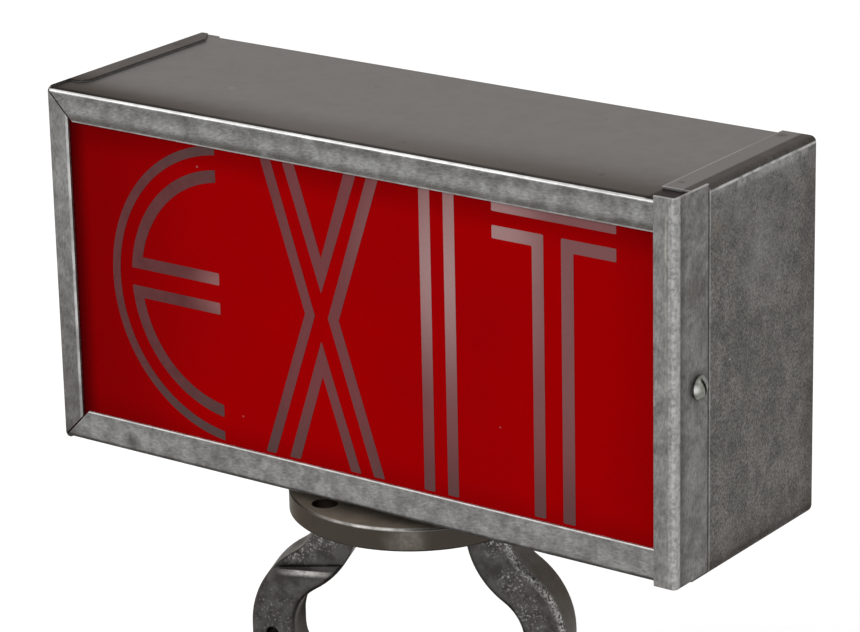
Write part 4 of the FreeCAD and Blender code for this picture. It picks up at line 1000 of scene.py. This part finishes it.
@dataclass
class CastYoke:
    """The cast yoke with its turned flange, and the stem's fittings."""

    shop: EffectShop
    skin: Colour = (0.044, 0.041, 0.040)
    smooth: Colour = (0.087, 0.083, 0.081)
    glint: Colour = (0.72, 0.70, 0.67)
    # Near-black for the painted shade in the crease above the left arm's ledge.
    soot_and_painted_shade: Colour = (0.010, 0.009, 0.008)
    turned: Colour = (0.054, 0.045, 0.037)
    flat_top_painted_light: Colour = (0.34, 0.285, 0.225)
    # Used for the painted highlight along the rim's top edge.
    bright: Colour = (0.85, 0.83, 0.80)
    turn: float = 22.0
    crease: float = 0.0951

    def beside(self, x: float, y: float, z: float, radius: float) -> Spot:
        """Returns a spot on the casting, given in millimetres along and across the arms' own plane."""
        place = Matrix.Rotation(math.radians(self.turn), 3, "Z") @ Vector((x, y, z))
        return Spot(tuple(place * MM), radius * MM)

    def glints(self, x: float, z: float, radius: float, amount: float, low: float = 0.5) -> Layer:
        """Returns painted highlights, glints on the pebble tops, on the front of an arm.

        Args:
            x: Their place along the arms' plane, in millimetres.
            z: Their height, in millimetres.
            radius: How far they reach, in millimetres.
            amount: How bright they are.
            low: How rare they are, from 0.4 to 0.6.

        Returns:
            The layer.
        """
        return Layer(self.glint, amount, (), self.beside(x, -11.0, z, radius), patches=1.0, patch_scale=900.0,
                     patch_low=low, roughness=0.3)

    def finish(self) -> CastFinish:
        """Returns the casting's finish: dark pebbled arms and a machined flange and foot, with painted glints, shade
        and highlights, and a flange top painted lighter.
        """
        low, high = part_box("yoke_stand")
        rim, under = high.y, high.z - 0.010
        on_flange = Ramp(Axis.Z, under - 0.0004, under + 0.0002)
        seen = Matrix.Rotation(math.radians(self.turn - 135.0), 3, "Z") @ Vector((rim - 9.3 * MM, 0.0, 0.0))
        bolt = (seen.x, seen.y)
        on_foot = Ramp(Axis.Z, low.z + 0.0104, low.z + 0.0098)
        near_rim = (Ramp(Axis.Z, high.z - 0.0013, high.z - 0.0006), Ramp(Axis.RADIUS, rim - 0.0014, rim - 0.0004))
        # Painted highlight: glints along the right arm's rounded front edge, at these points and halfway between.
        line = ((40.5, 116.0), (42.0, 111.5), (44.5, 106.7), (47.7, 102.7), (51.2, 99.2), (54.7, 95.7), (58.0, 91.7),
                (60.7, 87.0), (63.0, 81.7), (64.5, 76.0), (65.0, 70.5))
        edge = [Layer(self.glint, 0.6, (), self.beside((x + u) / 2 if half else x, -11.0, (z + w) / 2 if half else z, 3.1),
                      patches=1.0, patch_scale=1050.0, patch_low=0.4)
                for (x, z), (u, w) in zip(line, line[1:]) for half in (False, True)]
        return CastFinish(
            "cast_iron", self.skin, self.smooth, roughness=0.36, metallic=0.88, specular=0.0, mottle_scale=160.0,
            glance=(0.60, 0.57, 0.54), mottle_low=0.36, mottle_high=0.64, rough_patches=0.16, layers=(
                # Painted highlights: glints on the pebble tops of both arms.
                self.glints(-50.0, 104.0, 13.0, 0.6), self.glints(-38.0, 112.0, 12.0, 0.6),
                self.glints(-58.0, 74.0, 20.0, 0.35, 0.54), self.glints(36.0, 113.0, 10.0, 0.45),
                self.glints(43.0, 97.0, 9.0, 0.55, 0.49), self.glints(50.0, 84.0, 11.0, 0.45),
                self.glints(57.0, 72.0, 12.0, 0.45, 0.53), *edge,
                # Painted shade on the left arm's inner side.
                Layer((0.012, 0.010, 0.008), 1.0, (), self.beside(-49.5, 7.5, 76.0, 23.0), metallic=0.1),
                Layer((0.075, 0.060, 0.046), 0.7, (), self.beside(64.0, 5.0, 96.0, 28.0), patches=0.5,
                      patch_scale=200.0, metallic=0.3),
                # Painted shade in the crease above the left arm's ledge, and a painted highlight on the ledge below
                # it.
                Layer(self.soot_and_painted_shade, 0.75, (Ramp(Axis.Z, self.crease - 0.0002, self.crease + 0.0002),
                                        Ramp(Axis.Z, self.crease + 0.0048, self.crease + 0.0018)),
                      self.beside(-50.0, -11.0, 96.0, 20.0)),
                Layer(self.glint, 0.70, (Ramp(Axis.Z, self.crease - 0.0034, self.crease - 0.0014),
                                         Ramp(Axis.Z, self.crease + 0.0001, self.crease - 0.0005)),
                      self.beside(-45.0, -11.0, 93.0, 15.0), patches=0.5, patch_scale=380.0),
                Layer(self.turned, 0.95, (on_flange,), roughness=0.34),
                # Painted light: the flange's flat top is made much lighter than its turned side.
                Layer(self.flat_top_painted_light, 0.95, (Ramp(Axis.Z, high.z - 0.0004, high.z - 0.0001),), patches=0.15,
                      metallic=0.25),
                # Painted highlight: a light streak on the flange's turned side.
                Layer((0.34, 0.31, 0.275), 0.45, (on_flange,), Spot((0.0275, -0.0445, under + 0.005), 0.012),
                      patches=0.5, patch_scale=160.0, roughness=0.3),
                Layer((0.16, 0.075, 0.035), 0.8, (on_flange,), Spot((*bolt, high.z - 0.004), 0.0075)),
                Layer(self.turned, 0.95, (on_foot,), roughness=0.34),
                Layer(self.turned, 0.85, near_rim, roughness=0.4),
                # Painted highlight along the rim's top edge, strongest at its front and faint all round.
                Layer(self.bright, 0.75, near_rim, Spot((0.016, -rim, high.z), 0.034), patches=0.7,
                      patch_scale=60.0, roughness=0.3),
                Layer(self.bright, 0.05, near_rim, patches=0.7, patch_scale=45.0, roughness=0.3),
            ))

    def dress(self) -> None:
        """Dresses the casting and the stem's fittings."""
        dress("yoke_stand", self.finish().material(self.shop))
        plated = Finish("stem_steel", (0.20, 0.19, 0.175), (0.10, 0.092, 0.082), roughness=0.38, metallic=0.9,
                        mottle_scale=300.0, grain=Grain(stretch=(300.0, 300.0, 2400.0), contrast=0.3)).material(self.shop)
        for name in ("stem_nipple", "stem_spacer", "inner_locknut", "lower_locknut", "lower_washer"):
            dress(name, plated)
        fibre = Finish("red_fibre", (0.19, 0.05, 0.03), (0.12, 0.03, 0.02), roughness=0.7, mottle_scale=500.0,
                       grain=Grain(stretch=(1200.0, 1200.0, 300.0), contrast=0.2)).material(self.shop)
        dress("stem_bushing", fibre)


@dataclass
class LampSet:
    """The lampholders, lamps and wires inside the housing."""

    shop: EffectShop
    brass: Colour = (0.56, 0.38, 0.15)
    tarnish: Colour = (0.30, 0.19, 0.08)

    def bulb_finish(self, side: str) -> Finish:
        """Returns a lamp's finish: frosted envelope and brass base.

        Args:
            side: left or right.

        Returns:
            The finish.
        """
        low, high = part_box(f"{side}_bulb")
        base = 0.024
        root, tip = (high.x, -1.0) if side == "left" else (low.x, 1.0)
        edge = root + tip * base
        return Finish(
            f"{side}_lamp", (0.83, 0.82, 0.78), (0.74, 0.73, 0.69), roughness=0.3, mottle_scale=60.0,
            layers=(Layer(self.brass, 1.0, (Ramp(Axis.X, edge, edge - tip * 0.0006),), patches=0.25,
                          patch_scale=300.0, roughness=0.35, metallic=0.95),))

    def dress(self) -> None:
        """Dresses the inner pieces."""
        porcelain = Finish("glazed_porcelain", (0.82, 0.80, 0.74), (0.74, 0.71, 0.64), roughness=0.16, coat=0.4,
                           mottle_scale=80.0, grain=Grain(stretch=(700.0,) * 3, contrast=0.05, bump=0.03))
        brass = Finish("lamp_brass", self.brass, self.tarnish, roughness=0.34, metallic=0.95, mottle_scale=260.0,
                       grain=Grain(stretch=(2200.0, 300.0, 300.0), contrast=0.2)).material(self.shop)
        glaze = porcelain.material(self.shop)
        for side in ("left", "right"):
            dress(f"{side}_lampholder", glaze)
            dress(f"{side}_screw_shell", brass)
            dress(f"{side}_contact", brass)
            dress(f"{side}_bulb", self.bulb_finish(side).material(self.shop))
        dress("terminal_screws", brass)
        weave = Grain(turn=(0.0, 45.0, 45.0), stretch=(1800.0, 1800.0, 700.0), contrast=0.35, bump=0.35)
        black = Finish("black_braid", (0.035, 0.033, 0.032), (0.02, 0.019, 0.018), roughness=0.75,
                       mottle_scale=600.0, grain=weave).material(self.shop)
        cream = Finish("cream_braid", (0.58, 0.53, 0.43), (0.46, 0.41, 0.33), roughness=0.78,
                       mottle_scale=600.0, grain=weave).material(self.shop)
        for name, material in (("live_link", black), ("live_lead", black),
                               ("neutral_link", cream), ("neutral_lead", cream)):
            dress(name, material)


# ---------------------------------------------------------------------------------- studio


@dataclass(frozen=True)
class SoftBox:
    """A large soft lamp that points at a place."""

    name: str
    place: Place
    target: Place
    size: tuple[float, float]
    power: float
    colour: Colour = (1.0, 1.0, 1.0)

    def build(self) -> None:
        """Adds the lamp to the scene."""
        data = bpy.data.lights.new(self.name, "AREA")
        data.shape = "RECTANGLE"
        data.size, data.size_y = self.size
        data.energy = self.power
        data.color = self.colour
        lamp = bpy.data.objects.new(self.name, data)
        lamp.location = self.place
        lamp.rotation_euler = (Vector(self.target) - Vector(self.place)).to_track_quat("-Z", "Y").to_euler()
        bpy.context.scene.collection.objects.link(lamp)


@dataclass
class Studio:
    """Pale floor, white surroundings, soft lamps and the camera."""

    floor_reach: float = 14.0
    floor_tone: Colour = (0.62, 0.62, 0.62)
    floor_lift: float = 0.57
    sky_strength: float = 0.5
    aim: Place = (0.0, 0.0, 0.2)
    camera_place: Place = (0.87547, -1.19350, 0.71245)
    camera_turn: Place = (71.1073, 1.1568, 35.5712)
    lens: float = 160.78

    def seen(self, graph: Graph) -> Socket:
        """Returns a mask for rays from the camera, or through glass or off gloss."""
        path = graph.add("ShaderNodeLightPath")
        shown = graph.math("MAXIMUM", path.outputs["Is Camera Ray"], path.outputs["Is Glossy Ray"])
        return graph.math("MAXIMUM", shown, path.outputs["Is Transmission Ray"])

    def floor(self) -> None:
        """Lays the pale floor, which keeps the shadow."""
        mesh = bmesh.new()
        bmesh.ops.create_grid(mesh, x_segments=1, y_segments=1, size=self.floor_reach)
        data = bpy.data.meshes.new("floor")
        mesh.to_mesh(data)
        mesh.free()
        made = bpy.data.materials.new("pale_floor")
        made.use_nodes = True
        graph = Graph(made.node_tree)
        shader = made.node_tree.nodes["Principled BSDF"]
        shader.inputs["Base Color"].default_value = opaque(self.floor_tone)
        shader.inputs["Roughness"].default_value = 0.9
        shader.inputs["Specular IOR Level"].default_value = 0.0
        shader.inputs["Emission Color"].default_value = (1.0, 1.0, 1.0, 1.0)
        graph.feed(shader.inputs["Emission Strength"],
                   graph.math("MULTIPLY", self.seen(graph), self.floor_lift))
        data.materials.append(made)
        floor = bpy.data.objects.new("floor", data)
        bpy.context.scene.collection.objects.link(floor)

    def surroundings(self) -> None:
        """Makes the world white to the eye and softer as a light."""
        world = bpy.data.worlds.new("soft_room")
        bpy.context.scene.world = world
        world.use_nodes = True
        graph = Graph(world.node_tree)
        sky = world.node_tree.nodes["Background"]
        sky.inputs["Color"].default_value = (1.0, 1.0, 1.0, 1.0)
        strength = graph.math("MULTIPLY_ADD", self.seen(graph), 1.0 - self.sky_strength)
        strength.node.inputs[2].default_value = self.sky_strength
        graph.feed(sky.inputs["Strength"], strength)

    def lamps(self) -> None:
        """Hangs the soft boxes."""
        for box in (
            SoftBox("key_light", (-0.9, -1.5, 1.3), self.aim, (1.3, 1.1), 15.0),
            SoftBox("top_light", (-0.3, 0.5, 1.7), self.aim, (1.4, 1.2), 7.0),
            SoftBox("side_light", (1.7, 0.3, 0.8), self.aim, (0.9, 1.2), 3.0),
        ):
            box.build()

    def camera(self) -> None:
        """Places the camera."""
        data = bpy.data.cameras.new("camera")
        data.lens = self.lens
        data.sensor_width = 36.0
        camera = bpy.data.objects.new("camera", data)
        camera.location = self.camera_place
        camera.rotation_euler = Euler([math.radians(angle) for angle in self.camera_turn], "XYZ")
        bpy.context.scene.collection.objects.link(camera)
        bpy.context.scene.camera = camera

    def build(self) -> None:
        """Builds the studio."""
        bpy.context.scene.view_settings.view_transform = "Standard"
        self.camera()
        self.floor()
        self.surroundings()
        self.lamps()


def main() -> None:
    """Dresses the exit light, adds its word and sets it in the studio."""
    logging.basicConfig(level=logging.INFO, format="%(name)s: %(message)s")
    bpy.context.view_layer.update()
    place = HousingFrame()
    shop = EffectShop()
    Studio().build()
    SheetHousing(place, shop).dress()
    RubyGlass(place, shop).dress()
    CastYoke(shop).dress()
    LampSet(shop).dress()
    ExitWord(place, shop).build()


if __name__ == "__main__":
    main()
